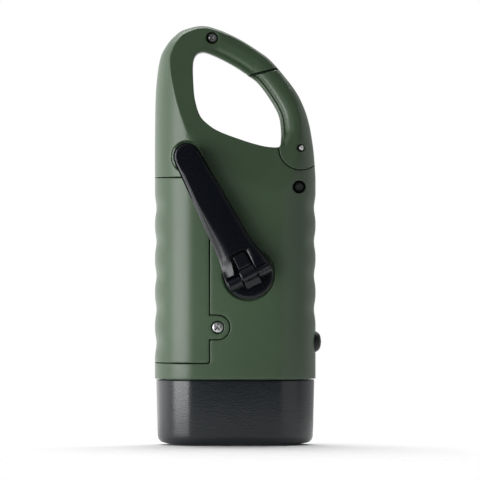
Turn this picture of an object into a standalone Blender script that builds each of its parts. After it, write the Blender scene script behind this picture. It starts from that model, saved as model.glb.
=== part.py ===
"""Hand-cranked solar flashlight with a carabiner loop, standing on its lens end.

Lengths are metres. +Z runs up from the lens to the loop, the crank is on the -Y face,
the solar cell is on the +Y face and the push button is on the +X side.
The case is drawn about its own centre line, and the empty case_datum shifts it so that
the world origin is the bottom centre of the whole object's box.
"""
import math

import bmesh
import bpy
from mathutils import Matrix, Vector

# Case
total_height = 0.135
half_width = 0.0259
half_depth = 0.016
face_crown = 0.0029
side_round = 0.0126
loop_height = 0.049
wall = 0.0018
gap = 0.0003
overrun = 0.002
cavity_rise = 0.0005
weld_distance = 0.00001

# Finger grip ripples
ripple_pitch = 0.0109
ripple_depth = 0.0005
first_ripple = 0.0327
left_ripple_count = 5
right_ripple_count = 4
ripple_sharpness = 1.5

# Tilted flat of the loop, as half depths at three places
nose_half_depth = 0.0068
pivot_half_depth = 0.0106
spine_half_depth = 0.0118

# Bezel and lens
bezel_height = 0.0213
bezel_step = 0.0004
bezel_taper = 0.0005
bezel_wall = 0.0021
bezel_foot_round = 0.0026
bezel_foot_draw = 0.0013
bezel_sag = 0.0011
bezel_land = 0.011
lip_height = 0.0012
lip_width = 0.0021
lens_thickness = 0.0016
gasket_thickness = 0.0009
gasket_width = 0.0012
reflector_height = 0.0072
reflector_play = 0.0004
led_board_thickness = 0.0014
spigot_wall = 0.0016
led_pitch_share = 0.54
led_radius = 0.0025
led_flange = 0.0004
led_flange_height = 0.001
led_height = 0.0068
cup_mouth = 0.0064

# Battery cover and its screw
cover_width = 0.0176
cover_low = 0.0266
cover_drop = 0.0001
tab_reach = 0.0027
tab_height = 0.038
tab_radius = 0.0038
cover_screw_head = 0.0018
cover_screw_head_height = 0.0011
cover_screw_shank = 0.0008
cover_screw_length = 0.005
cover_screw_sink = 0.0004
cover_boss_radius = 0.0024
cover_boss_length = 0.0064
rib_thickness = 0.0014

# Case screws
case_screw_head = 0.0017
case_screw_head_height = 0.0013
case_screw_shank = 0.0009
top_screw_hole = 0.002
top_screw_floor = 0.0038
side_screw_inset = 0.0054
side_screw_drop = 0.003
side_screw_hole = 0.0021
side_screw_floor = 0.0052
screw_depth_behind = 0.0034
boss_radius = 0.0032
cross_slot = 0.0004
cross_depth = 0.0005
cross_reach_share = 1.5

# Crank axis, hub and hinge
hub_share = 0.166
hub_z = 0.0549
hub_radius = 0.00785
hub_recess = 0.00835
hub_recess_depth = 0.0011
hub_stand = 0.00025
hub_shaft = 0.002
hinge_height = 0.0035
barrel_radius = 0.0029
knuckle_half = 0.00265
ear_half = 0.0074
hinge_pin_radius = 0.001
pin_inset = 0.0002
tongue_length = 0.0076
neck_half = 0.0023
tongue_half = 0.0026
tongue_low = 0.0013
tongue_high = 0.0051
bush_radius = 0.0031
bush_length = 0.0031
front_boss_radius = 0.005
front_boss_length = 0.0018
shaft_play = 0.00025

# Crank arm and knob
arm_length = 0.0426
arm_tip_half = 0.00435
arm_middle_half = 0.0056
arm_root_half = 0.0061
arm_middle = 0.02
ear_length = 0.0046
arm_underside = 0.0034
arm_thickness = 0.0026
slot_top = 0.0081
slot_corner = 0.0012
arm_lean_share = 0.5238
knob_radius = 0.004
knob_height = 0.0028
knob_bore = 0.0018
knob_peg = 0.0015
knob_counterbore = 0.0026
knob_counterbore_depth = 0.0012
knob_screw_head = 0.0022
knob_screw_height = 0.0008
knob_screw_shank = 0.0007
knob_screw_length = 0.0014
knob_lift = 0.0003
knob_round = 0.0006
well_radius = 0.0053
well_depth_from_front = 0.0022

# Gear train
module_share = 0.02703
first_gear_angle = 100
second_gear_angle = 55
rotor_angle = -45
crank_teeth = 30
wheel_teeth = 24
second_wheel_teeth = 20
pinion_teeth = 8
wheel_thickness = 0.0018
layer_gap = 0.0004
axle_radius = 0.0007
axle_engagement = 0.0011
gear_bore_play = 0.0002
rotor_share = 0.1853
rotor_length = 0.0056
air_gap = 0.0005
plate_thickness = 0.0014
core_ring = 0.0016
core_thickness = 0.004
core_leg_share = 0.0656
core_window_share = 0.139
core_drop = 0.013
core_yoke = 0.0022
coil_radius = 0.0041
coil_bore = 0.0026
gear_screw_head = 0.0027
plate_post_radius = 0.0014
plate_ear = 0.0024
upper_post_inset = 0.0038
upper_post_drop = 0.0075
side_post_left = 0.0026
side_post_down = 0.004
lower_post_inset = 0.0051
lower_post_below = 0.0117
plate_screw_length = 0.004
plate_screw_head = 0.0013
plate_screw_head_height = 0.0009
plate_screw_shank = 0.0006

# Push button and switch
button_z = 0.0332
button_radius = 0.0034
button_dome = 0.0018
button_flange = 0.0043
button_flange_thickness = 0.0008
button_skirt = 0.0027
switch_inset = 0.0049
switch_length = 0.0062
switch_half_height = 0.004
switch_half_depth = 0.0048
plunger_radius = 0.0012
plunger_bore = 0.0015
plunger_engagement = 0.0022
plunger_bore_depth = 0.0036

# Batteries and their tray
cell_radius = 0.00525
cell_length = 0.0445
cell_nub = 0.0019
cell_nub_height = 0.0008
cell_inset = 0.0101
cell_low = 0.0345
tray_wall = 0.001
tray_half_depth = 0.0088
tray_reach = 0.0042
contact_thickness = 0.0005
contact_play = 0.0003
spring_radius = 0.0032
spring_turns = 3
spring_wire = 0.00025
spring_height = 0.0028

# Boards
main_board_back = 0.0062
board_thickness = 0.0014
board_low = 0.0238
board_above_hub = 0.0106
board_clearance = 0.00135
board_margin = 0.0064
capacitor_radius = 0.0028
capacitor_length = 0.006
capacitor_inset = 0.0045
board_screw_length = 0.0045
chip_half = 0.0026
chip_height = 0.0012
diode_radius = 0.0009
diode_length = 0.0042
lead_radius = 0.0006
lead_x = 0.0015
lead_pitch = 0.003
lead_tail = 0.0025
board_post_radius = 0.0016
board_post_inset = 0.003

# Solar cell
solar_margin = 0.0127
solar_low = 0.029
solar_drop = 0.003
window_level = 0.01505
window_thickness = 0.001
cell_thickness = 0.0008
cell_margin = 0.0009
panel_thickness = 0.0013

# Gate
gate_boss = 0.0069
gate_pocket = 0.0059
lug_radius = 0.0044
lug_neck = 0.0032
gate_slot = 0.0045
lug_front = 0.0014
gate_pin_radius = 0.0009
gate_pin_hole = 0.0012
gate_pin_sink = 0.0008
gate_spring_radius = 0.0022
gate_spring_wire = 0.00025
gate_spring_turns = 2
gate_spring_pitch = 0.0009
gate_spring_leg = 0.0042
gate_spring_leg_angle = 114
lug_neck_angle = 235
gate_floor_angle = 168

# Faces and segments
outline_side_steps = 24
outline_loop_steps = 15
round_steps = 4
crown_steps = 4
small_sides = 12
round_sides = 24
fine_sides = 36
curve_steps = 4
coil_sides = 10

# Outline of the loop from the left side over the top to the right side: shares of the
# half width and of the loop's height, then shares of the side rounding and half depth
loop_shares = [
    (-1.0, 0.0, 1.0, 1.0), (-1.0, 0.25, 1.0, 1.0), (-0.988, 0.566, 1.0, 1.0),
    (-0.938, 0.776, 0.92, 1.0), (-0.850, 0.875, 0.82, 0.95), (-0.751, 0.934, 0.72, 0.9),
    (-0.639, 0.974, 0.62, 0.82), (-0.414, 1.0, 0.55, 0.75), (-0.2025, 0.974, 0.5, 0.7),
    (0.0467, 0.914, 0.5, 0.68), (0.2835, 0.836, 0.52, 0.68), (0.433, 0.776, 0.55, 0.7),
    (0.6075, 0.671, 0.6, 0.74), (0.757, 0.566, 0.68, 0.8), (0.8567, 0.4605, 0.78, 0.86),
    (0.919, 0.355, 0.86, 0.92), (0.956, 0.25, 0.94, 0.96), (0.981, 0.145, 1.0, 1.0),
    (1.0, 0.0, 1.0, 1.0),
]
loop_top_index = 7

# Outline of the loop's hole, as shares of the half width and of the loop's height
hole_shares = [
    (-0.5265, 0.75), (-0.5227, 0.618), (-0.5016, 0.513), (-0.439, 0.408), (-0.3458, 0.352),
    (-0.2025, 0.3026), (0.0592, 0.25), (0.2835, 0.2138), (0.433, 0.1993), (0.545, 0.2035),
    (0.570, 0.2566), (0.565, 0.342), (0.5327, 0.421), (0.433, 0.5164), (0.2835, 0.6217),
    (0.1464, 0.6776), (0.0093, 0.727), (-0.1651, 0.7776), (-0.3271, 0.8158), (-0.4143, 0.825),
    (-0.489, 0.807),
]

# Places on the loop as shares of the half width and of the loop's height
top_screw_share = (-0.2857, 0.9184)
pivot_share = (0.8127, 0.1939)
seam_inner_share = (0.2432, 0.6755)
seam_outer_share = (0.5405, 0.7163)

# Button dome as shares of its radius and height
button_shares = [(0.0, 1.0), (0.5, 0.86), (0.8, 0.55), (1.0, 0.1)]

# Tooth form as shares of the module and of the pitch angle
addendum_share = 0.8
dedendum_share = 1.15
tip_width_share = 0.17
root_width_share = 0.56

# Derived sizes
loop_base = total_height - loop_height
cavity_top = loop_base + cavity_rise
cover_seam_x = cover_width - half_width
cover_high = loop_base - cover_drop
top_screw_x = half_width * top_screw_share[0]
top_screw_z = loop_base + loop_height * top_screw_share[1]
side_screw_x = half_width - side_screw_inset
side_screw_z = loop_base - side_screw_drop
pivot_x = half_width * pivot_share[0]
pivot_z = loop_base + loop_height * pivot_share[1]
seam_inner_x = half_width * seam_inner_share[0]
seam_inner_z = loop_base + loop_height * seam_inner_share[1]
seam_outer_x = half_width * seam_outer_share[0]
seam_outer_z = loop_base + loop_height * seam_outer_share[1]
hub_x = half_width * hub_share
button_reach = button_dome
crank_reach = hinge_height + barrel_radius
datum = Vector((-button_reach / 2, crank_reach / 2, 0.0))
inner_face = half_depth - wall
lens_low = lip_height + gap
lens_high = lens_low + lens_thickness
gasket_low = lens_high + gap
gasket_high = gasket_low + gasket_thickness
reflector_low = gasket_high + gap
reflector_high = reflector_low + reflector_height
led_board_low = reflector_high + gap
led_board_high = led_board_low + led_board_thickness
spigot_low = led_board_high + gap
spigot_lean = bezel_taper * (1 - spigot_low / bezel_height)
spigot_inset = bezel_step + bezel_wall + spigot_lean + gap
front_boss_face = inner_face - front_boss_length
crank_layer = front_boss_face - layer_gap
first_layer = crank_layer - wheel_thickness - layer_gap
second_layer = first_layer - wheel_thickness - layer_gap
rotor_front = second_layer - wheel_thickness - layer_gap
rotor_back = rotor_front - rotor_length
plate_front = rotor_back - layer_gap
plate_back = plate_front - plate_thickness
module_size = half_width * module_share
rotor_radius = half_width * rotor_share
core_leg = half_width * core_leg_share
core_window = half_width * core_window_share
led_pitch = half_width * led_pitch_share
pitch_crank = module_size * crank_teeth / 2
pitch_wheel = module_size * wheel_teeth / 2
pitch_second = module_size * second_wheel_teeth / 2
pitch_pinion = module_size * pinion_teeth / 2
arm_lean = math.atan(arm_lean_share)
well_x = hub_x - arm_length * math.sin(arm_lean)
well_z = hub_z + arm_length * math.cos(arm_lean)
angle_first = math.radians(first_gear_angle)
angle_second = math.radians(second_gear_angle)
angle_rotor = math.radians(rotor_angle)
first_x = hub_x + (pitch_crank + pitch_pinion) * math.cos(angle_first)
first_z = hub_z + (pitch_crank + pitch_pinion) * math.sin(angle_first)
second_x = first_x + (pitch_wheel + pitch_pinion) * math.cos(angle_second)
second_z = first_z + (pitch_wheel + pitch_pinion) * math.sin(angle_second)
rotor_x = second_x + (pitch_second + pitch_pinion) * math.cos(angle_rotor)
rotor_z = second_z + (pitch_second + pitch_pinion) * math.sin(angle_rotor)
tab_x = cover_seam_x + tab_reach
cell_x = cell_inset - half_width
tray_low = cell_low - spring_height - contact_thickness - contact_play * 2 - tray_wall
tray_high = cell_low + cell_length + cell_nub_height + contact_thickness + contact_play * 2 + tray_wall
tray_back = cell_x + cell_radius + gap / 2
board_left = cell_x + cell_radius + tray_wall + board_clearance
board_right = half_width - board_margin
board_high = hub_z + board_above_hub
switch_front = half_width - switch_inset
solar_half_width = half_width - solar_margin
solar_high = loop_base - solar_drop
upper_post_x = cover_seam_x + upper_post_inset
upper_post_z = loop_base - upper_post_drop
side_post_x = side_screw_x - side_post_left
side_post_z = side_screw_z - side_post_down
lower_post_x = cover_seam_x + lower_post_inset
lower_post_z = hub_z - lower_post_below
plate_posts = [(upper_post_x, upper_post_z), (side_post_x, side_post_z), (lower_post_x, lower_post_z)]
board_screws = [
    (board_left + board_post_inset, board_high - board_post_inset),
    (board_right - board_post_inset, button_z + switch_half_height + board_post_inset),
]


def clear_scene():
    for item in list(bpy.data.objects):
        bpy.data.objects.remove(item, do_unlink=True)


def new_collection(name):
    group = bpy.data.collections.new(name)
    bpy.context.scene.collection.children.link(group)
    return group


clear_scene()
parts = new_collection("solar_dynamo_flashlight")
cutters = new_collection("cutters")


def finish(name, red, green, blue, roughness, metallic=0.0, alpha=1.0):
    """A Principled material with one plain colour."""
    material = bpy.data.materials.new(name)
    material.use_nodes = True
    shader = material.node_tree.nodes["Principled BSDF"]
    shader.inputs["Base Color"].default_value = (red, green, blue, 1.0)
    shader.inputs["Roughness"].default_value = roughness
    shader.inputs["Metallic"].default_value = metallic
    shader.inputs["Alpha"].default_value = alpha
    return material


green_plastic = finish("green_plastic", 0.052, 0.082, 0.047, 0.55)
black_plastic = finish("black_plastic", 0.018, 0.021, 0.024, 0.5)
crank_plastic = finish("crank_plastic", 0.006, 0.007, 0.01, 0.35)
button_rubber = finish("button_rubber", 0.02, 0.021, 0.023, 0.7)
bright_steel = finish("bright_steel", 0.6, 0.6, 0.6, 0.3, 1.0)
dark_steel = finish("dark_steel", 0.2, 0.2, 0.21, 0.4, 1.0)
clear_plastic = finish("clear_plastic", 0.8, 0.85, 0.88, 0.05, 0.0, 0.35)
led_clear = finish("led_clear", 0.9, 0.9, 0.75, 0.1)
mirror_chrome = finish("mirror_chrome", 0.85, 0.85, 0.86, 0.08, 1.0)
solar_blue = finish("solar_blue", 0.01, 0.014, 0.04, 0.25)
gear_nylon = finish("gear_nylon", 0.75, 0.73, 0.68, 0.5)
coil_copper = finish("coil_copper", 0.6, 0.25, 0.12, 0.35, 1.0)
core_iron = finish("core_iron", 0.25, 0.25, 0.27, 0.5, 1.0)
magnet_grey = finish("magnet_grey", 0.08, 0.08, 0.085, 0.4)
board_green = finish("board_green", 0.02, 0.12, 0.05, 0.4)
cell_wrap = finish("cell_wrap", 0.1, 0.16, 0.3, 0.35)
contact_nickel = finish("contact_nickel", 0.65, 0.64, 0.6, 0.3, 1.0)
bush_brass = finish("bush_brass", 0.7, 0.52, 0.24, 0.35, 1.0)
lead_red = finish("lead_red", 0.45, 0.03, 0.02, 0.5)


def empty(name, place, parent=None, turn=0.0):
    """An empty at a place under its parent, turned about Y by the given angle."""
    item = bpy.data.objects.new(name, None)
    parts.objects.link(item)
    item.parent = parent
    item.location = place
    item.rotation_euler = (0.0, turn, 0.0)
    return item


case_datum = empty("case_datum", datum)
crank_axis = empty("crank_axis", (hub_x, 0.0, hub_z), case_datum, -arm_lean)
arm_hinge = empty("arm_hinge", (0.0, -half_depth - hinge_height, 0.0), crank_axis)
knob_axis = empty("knob_axis", (0.0, 0.0, arm_length), arm_hinge)
gate_axis = empty("gate_axis", (pivot_x, 0.0, pivot_z), case_datum)
first_axis = empty("first_axis", (first_x, 0.0, first_z), case_datum)
second_axis = empty("second_axis", (second_x, 0.0, second_z), case_datum)
rotor_axis = empty("rotor_axis", (rotor_x, 0.0, rotor_z), case_datum)
button_axis = empty("button_axis", (half_width, 0.0, button_z), case_datum)


def add_part(name, mesh, material, parent=case_datum):
    """One named sub-part in the flashlight's collection."""
    mesh.name = name
    mesh.materials.clear()
    mesh.materials.append(material)
    item = bpy.data.objects.new(name, mesh)
    parts.objects.link(item)
    item.parent = parent
    mesh.shade_smooth()
    mesh.set_sharp_from_angle(angle=math.radians(35))
    return item


def add_cutter(name, mesh, parent=case_datum):
    item = bpy.data.objects.new(name, mesh)
    cutters.objects.link(item)
    item.parent = parent
    item.hide_render = True
    item.display_type = "WIRE"
    return item


def shape(target, tool, operation="DIFFERENCE"):
    """A Boolean on a part with a cutter."""
    modifier = target.modifiers.new(tool.name, "BOOLEAN")
    modifier.operation = operation
    modifier.solver = "EXACT"
    modifier.object = tool
    return modifier


def mesh_from(bm, name):
    bmesh.ops.recalc_face_normals(bm, faces=bm.faces)
    mesh = bpy.data.meshes.new(name)
    bm.to_mesh(mesh)
    bm.free()
    return mesh


def block(name, low, high):
    """A box between two corners."""
    bm = bmesh.new()
    bmesh.ops.create_cube(bm, size=1.0)
    size = Vector(high) - Vector(low)
    middle = (Vector(high) + Vector(low)) / 2
    bmesh.ops.scale(bm, vec=size, verts=bm.verts)
    bmesh.ops.translate(bm, vec=middle, verts=bm.verts)
    return mesh_from(bm, name)


def rod(name, start, end, radius, sides=round_sides, end_radius=None):
    """A cylinder or cone between two points."""
    start = Vector(start)
    end = Vector(end)
    run = end - start
    last = radius if end_radius is None else end_radius
    bm = bmesh.new()
    bmesh.ops.create_cone(bm, cap_ends=True, segments=sides, radius1=radius, radius2=last, depth=run.length)
    turn = Vector((0.0, 0.0, 1.0)).rotation_difference(run.normalized()).to_matrix().to_4x4()
    bmesh.ops.transform(bm, matrix=Matrix.Translation((start + end) / 2) @ turn, verts=bm.verts)
    return mesh_from(bm, name)


def pin_y(name, x, z, front, back, radius, sides=round_sides, end_radius=None):
    """A cylinder along Y between two distances in front of the centre plane."""
    return rod(name, (x, -back, z), (x, -front, z), radius, sides, end_radius)


def plate(name, points, front, back):
    """A flat outline in X and Z, as thick as the space between two distances in front."""
    curve = bpy.data.curves.new(name, "CURVE")
    curve.dimensions = "2D"
    curve.fill_mode = "BOTH"
    curve.extrude = (front - back) / 2
    spline = curve.splines.new("POLY")
    spline.points.add(len(points) - 1)
    for point, (x, z) in zip(spline.points, points):
        point.co = (x, z, 0.0, 1.0)
    spline.use_cyclic_u = True
    item = bpy.data.objects.new(name, curve)
    cutters.objects.link(item)
    graph = bpy.context.evaluated_depsgraph_get()
    mesh = bpy.data.meshes.new_from_object(item.evaluated_get(graph))
    bpy.data.objects.remove(item, do_unlink=True)
    bpy.data.curves.remove(curve)
    bm = bmesh.new()
    bm.from_mesh(mesh)
    bpy.data.meshes.remove(mesh)
    bmesh.ops.remove_doubles(bm, verts=bm.verts, dist=gap / round_sides)
    stand = Matrix.Rotation(math.radians(90), 4, "X")
    middle = Matrix.Translation((0.0, -(front + back) / 2, 0.0))
    bmesh.ops.transform(bm, matrix=middle @ stand, verts=bm.verts)
    return mesh_from(bm, name)


def turned(name, profile, material, parent, axis="Y", steps=round_sides):
    """A turned piece: its profile of (radius, distance) pairs runs down its outer side."""
    mesh = bpy.data.meshes.new(name)
    vertices = [(radius, 0.0, height) for radius, height in profile]
    edges = [(i, i + 1) for i in range(len(vertices) - 1)]
    if profile[0][0] > 0.0 or profile[-1][0] > 0.0:
        edges.append((len(vertices) - 1, 0))
    mesh.from_pydata(vertices, edges, [])
    item = add_part(name, mesh, material, parent)
    screw = item.modifiers.new("turned", "SCREW")
    screw.steps = steps
    screw.render_steps = steps
    screw.use_merge_vertices = True
    screw.merge_threshold = weld_distance
    if axis == "Y":
        item.rotation_euler = (math.radians(90), 0.0, 0.0)
    if axis == "X":
        item.rotation_euler = (0.0, math.radians(90), 0.0)
    return item


def wire(name, points, radius, material, parent=case_datum, closed=False):
    """A round wire through the given points."""
    curve = bpy.data.curves.new(name, "CURVE")
    curve.dimensions = "3D"
    curve.bevel_depth = radius
    curve.bevel_resolution = 1
    curve.use_fill_caps = True
    spline = curve.splines.new("POLY")
    spline.points.add(len(points) - 1)
    for point, place in zip(spline.points, points):
        point.co = (*place, 1.0)
    spline.use_cyclic_u = closed
    item = bpy.data.objects.new(name, curve)
    parts.objects.link(item)
    item.parent = parent
    curve.materials.append(material)
    return item


def smooth_path(points, steps, closed=False):
    """Points along a Catmull-Rom curve through the given points."""
    count = len(points)
    result = []
    spans = count if closed else count - 1
    for i in range(spans):
        around = []
        for k in (i - 1, i, i + 1, i + 2):
            index = k % count if closed else min(max(k, 0), count - 1)
            around.append(Vector(points[index]))
        before, here, there, after = around
        for j in range(steps):
            t = j / steps
            value = 2 * here + (there - before) * t
            value = value + (2 * before - 5 * here + 4 * there - after) * t * t
            value = value + (3 * here - before - 3 * there + after) * t * t * t
            result.append(value / 2)
    if not closed:
        result.append(Vector(points[-1]))
    return result


def resample(points, steps):
    """The same path as points at even distances along X and Z."""
    reach = [0.0]
    for a, b in zip(points, points[1:]):
        reach.append(reach[-1] + math.hypot(b[0] - a[0], b[1] - a[1]))
    result = []
    place = 0
    for k in range(steps + 1):
        aim = reach[-1] * k / steps
        while place < len(points) - 2 and reach[place + 1] < aim:
            place = place + 1
        share = (aim - reach[place]) / (reach[place + 1] - reach[place])
        result.append(points[place].lerp(points[place + 1], min(share, 1.0)))
    return result


def ripple(z, first, count):
    """How far a grip ripple draws the side in at a height."""
    last = first + ripple_pitch * (count - 1)
    if z < first - ripple_pitch / 2 or z > last + ripple_pitch / 2:
        return 0.0
    wave = (1 + math.cos(2 * math.pi * (z - first) / ripple_pitch)) / 2
    return ripple_depth * wave ** ripple_sharpness


def face_depth(x):
    """How far the crank face lies in front of the centre plane, below the loop."""
    edge = max(0.0, 1 - (half_width - abs(x)) / side_round)
    return (half_depth - face_crown * (x / half_width) ** 2) * math.sqrt(1 - edge * edge)


def case_outline(low):
    """Left and right outlines from the bottom to the top: x, z, rounding, half depth."""
    control = [
        Vector((x * half_width, loop_base + z * loop_height, r * side_round, d * half_depth))
        for x, z, r, d in loop_shares
    ]
    over_left = resample(smooth_path(control[:loop_top_index + 1], curve_steps * 2), outline_loop_steps)
    over_right = smooth_path(control[loop_top_index:], curve_steps * 2)
    over_right = resample(list(reversed(over_right)), outline_loop_steps)
    left = []
    right = []
    second = first_ripple + ripple_pitch * (left_ripple_count - right_ripple_count)
    for k in range(outline_side_steps):
        z = low + (loop_base - low) * k / outline_side_steps
        shrink = ripple(z, first_ripple, left_ripple_count)
        left.append(Vector((shrink - half_width, z, side_round, half_depth)))
        shrink = ripple(z, second, right_ripple_count)
        right.append(Vector((half_width - shrink, z, side_round, half_depth)))
    return left + over_left, right + over_right


def inward(points, sign):
    """Unit vectors into the case at each outline point; level along the straight sides."""
    result = []
    for i, point in enumerate(points):
        if i < outline_side_steps:
            result.append(Vector((sign, 0.0)))
            continue
        if i == len(points) - 1:
            result.append(Vector((0.0, -1.0)))
            continue
        run = points[i + 1] - points[i - 1]
        result.append(Vector((sign * run[1], -sign * run[0])).normalized())
    return result


def form(low, inset=0.0):
    """The whole outer form of the case down to a height, drawn in by an inset."""
    left, right = case_outline(low)
    sides = []
    for points, sign in ((left, 1.0), (right, -1.0)):
        normals = inward(points, sign)
        rows = []
        for point, normal in zip(points, normals):
            row = []
            for j in range(round_steps + 1):
                angle = math.radians(90) * j / round_steps
                draw = inset + (point[2] - inset) * (1 - math.cos(angle))
                x = point[0] + normal[0] * draw
                z = point[1] + normal[1] * draw
                row.append((x, z, math.sin(angle), point[3] - inset))
            rows.append(row)
        sides.append(rows)
    bm = bmesh.new()

    def depth(x, rise, deep):
        return (deep - face_crown * (x / half_width) ** 2) * rise

    rungs = []
    for row_left, row_right in zip(*sides):
        across = list(row_left)
        a = row_left[-1]
        b = row_right[-1]
        for k in range(1, crown_steps):
            t = k / crown_steps
            across.append(tuple(a[i] + (b[i] - a[i]) * t for i in range(4)))
        across.extend(reversed(row_right))
        rungs.append(across)
    count = len(rungs[0])
    grid = {}
    for i, rung in enumerate(rungs):
        for k, (x, z, rise, deep) in enumerate(rung):
            reach = depth(x, rise, deep)
            for face in (-1, 1):
                if rise == 0.0 and face == 1:
                    grid[i, k, face] = grid[i, k, -1]
                    continue
                grid[i, k, face] = bm.verts.new((x, face * reach, z))

    def add_face(*corners):
        loop = []
        for corner in corners:
            if corner not in loop:
                loop.append(corner)
        if len(loop) > 2:
            bm.faces.new(loop)

    for face in (-1, 1):
        for i in range(len(rungs) - 1):
            for k in range(count - 1):
                add_face(grid[i, k, face], grid[i, k + 1, face],
                         grid[i + 1, k + 1, face], grid[i + 1, k, face])
    for k in range(count - 1):
        add_face(grid[0, k, -1], grid[0, k + 1, -1], grid[0, k + 1, 1], grid[0, k, 1])
    bmesh.ops.remove_doubles(bm, verts=bm.verts, dist=gap / 8)
    bmesh.ops.dissolve_degenerate(bm, edges=bm.edges, dist=gap / 8)
    bmesh.ops.recalc_face_normals(bm, faces=bm.faces)
    return bm


def keep_side(bm, point, outward):
    """Cut a solid by a plane and close it, dropping the side the vector points to."""
    everything = list(bm.verts) + list(bm.edges) + list(bm.faces)
    cut = bmesh.ops.bisect_plane(bm, geom=everything, plane_co=point, plane_no=outward,
                                 dist=gap / 1000, clear_outer=True)
    edges = [item for item in cut["geom_cut"] if isinstance(item, bmesh.types.BMEdge)]
    bmesh.ops.edgeloop_fill(bm, edges=[edge for edge in edges if edge.is_boundary])
    bmesh.ops.recalc_face_normals(bm, faces=bm.faces)


def flat_plane(inset, face):
    """A point and the outward direction of the loop's tilted flat, front -1 or back 1."""
    places = [
        Vector((seam_inner_x, face * (nose_half_depth - inset), seam_inner_z)),
        Vector((pivot_x, face * (pivot_half_depth - inset), pivot_z)),
        Vector((hole_shares[2][0] * half_width, face * (spine_half_depth - inset),
                loop_base + hole_shares[2][1] * loop_height)),
    ]
    normal = (places[1] - places[0]).cross(places[2] - places[0]).normalized()
    if normal.y * face < 0.0:
        normal = -normal
    return places[0], normal


def case_block(name, low, high=None, inset=0.0, front=None, back=None):
    """The case's form between two heights, with both tilted flats, split where asked."""
    bm = form(min(low, bezel_height), inset)
    for face in (-1, 1):
        keep_side(bm, *flat_plane(inset, face))
    if low > bezel_height:
        keep_side(bm, Vector((0.0, 0.0, low)), Vector((0.0, 0.0, -1.0)))
    if high is not None:
        keep_side(bm, Vector((0.0, 0.0, high)), Vector((0.0, 0.0, 1.0)))
    if front is not None:
        keep_side(bm, Vector((0.0, front, 0.0)), Vector((0.0, 1.0, 0.0)))
    if back is not None:
        keep_side(bm, Vector((0.0, back, 0.0)), Vector((0.0, -1.0, 0.0)))
    return mesh_from(bm, name)


def arc(x, z, radius, start, end, steps):
    """Points on an arc, angles in degrees from +X towards +Z."""
    result = []
    for k in range(steps + 1):
        angle = math.radians(start + (end - start) * k / steps)
        result.append((x + radius * math.cos(angle), z + radius * math.sin(angle)))
    return result


# Cutters that several pieces share
deep = half_depth + overrun
hole_points = [
    Vector((x * half_width, loop_base + z * loop_height, 0.0)) for x, z in hole_shares
]
hole_path = [(p.x, p.y) for p in smooth_path(hole_points, 2, closed=True)]
hole_cutter = add_cutter("hole_cutter", plate("hole_cutter", hole_path, deep, -deep))


def gate_region(grow):
    """Outline round the gate, grown outwards by a clearance."""
    seam = Vector((seam_outer_x - seam_inner_x, seam_outer_z - seam_inner_z)).normalized()
    lift = Vector((-seam.y, seam.x)) * grow
    inner = Vector((seam_inner_x, seam_inner_z)) + lift - seam * gate_boss / 2
    outer = Vector((seam_outer_x, seam_outer_z)) + lift + seam * gate_boss * 2
    far = half_width + gate_boss
    points = [(inner.x, inner.y), (outer.x, outer.y), (far, outer.y), (far, pivot_z - gate_boss)]
    points.extend(arc(pivot_x, pivot_z, gate_boss + grow, -52, -205, small_sides + 2))
    points.append((pivot_x - gate_boss - gate_pocket, pivot_z + gate_boss))
    return points


def cover_region(grow):
    """Outline of the battery cover with its round tab, grown by a clearance."""
    edge = cover_seam_x + grow
    low = cover_low - grow
    high = cover_high + grow
    far = -half_width - overrun
    radius = tab_radius + grow
    points = [(far, low), (edge, low), (edge, tab_height - radius)]
    points.extend(arc(tab_x, tab_height, radius, -90, 90, small_sides))
    points.extend([(edge, tab_height + radius), (edge, high), (far, high)])
    return points


main_cavity = add_cutter(
    "main_cavity", case_block("main_cavity", bezel_height + wall, cavity_top, inset=wall))
low_cavity = add_cutter(
    "low_cavity", case_block("low_cavity", spigot_low - overrun, bezel_height + wall + overrun,
                             inset=spigot_inset + spigot_wall))
gate_hole = add_cutter("gate_hole", plate("gate_hole", gate_region(gap), deep, -deep))
button_hole = add_cutter(
    "button_hole", rod("button_hole", (half_width - boss_radius * 2, 0.0, button_z),
                       (half_width + overrun, 0.0, button_z), button_radius + gap))
top_hole = add_cutter(
    "top_hole", pin_y("top_hole", top_screw_x, top_screw_z, deep, top_screw_floor, top_screw_hole))
side_hole = add_cutter(
    "side_hole", pin_y("side_hole", side_screw_x, side_screw_z, deep, side_screw_floor, side_screw_hole))
lug_hole = add_cutter(
    "lug_hole", pin_y("lug_hole", pivot_x, pivot_z, gate_slot, -gate_slot, gate_pin_hole, small_sides))


def lug_neck_mesh(name, front, back):
    """The neck that joins a gate lug to the case, leaning down and to the left."""
    lean = math.radians(lug_neck_angle)
    along = Vector((math.cos(lean), math.sin(lean)))
    across = Vector((-along.y, along.x)) * lug_neck
    middle = Vector((pivot_x, pivot_z))
    end = middle + along * (gate_boss + lug_radius)
    points = [tuple(middle + across), tuple(middle - across), tuple(end - across), tuple(end + across)]
    return plate(name, points, front, back)


def build_shell(name, face):
    """The front shell (face -1) or the rear shell (face 1), with what both have."""
    front = overrun if face < 0 else None
    back = -overrun if face > 0 else None
    near, far = (lug_front, -overrun) if face < 0 else (overrun, gap - gate_slot)
    shell = add_part(name, case_block(name, bezel_height, None, front=front, back=back), green_plastic)
    spigot = case_block(name + "_spigot", spigot_low, bezel_height + wall / 2, inset=spigot_inset,
                        front=front, back=back)
    shape(shell, add_cutter(name + "_spigot", spigot), "UNION")
    shape(shell, main_cavity)
    shape(shell, low_cavity)
    shape(shell, hole_cutter)
    shape(shell, gate_hole)
    lug = pin_y(name + "_lug", pivot_x, pivot_z, near, far, lug_radius, small_sides)
    shape(shell, add_cutter(name + "_lug", lug), "UNION")
    shape(shell, add_cutter(name + "_neck", lug_neck_mesh(name + "_neck", near, far)), "UNION")
    shape(shell, lug_hole)
    shape(shell, button_hole)
    return shell


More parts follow.
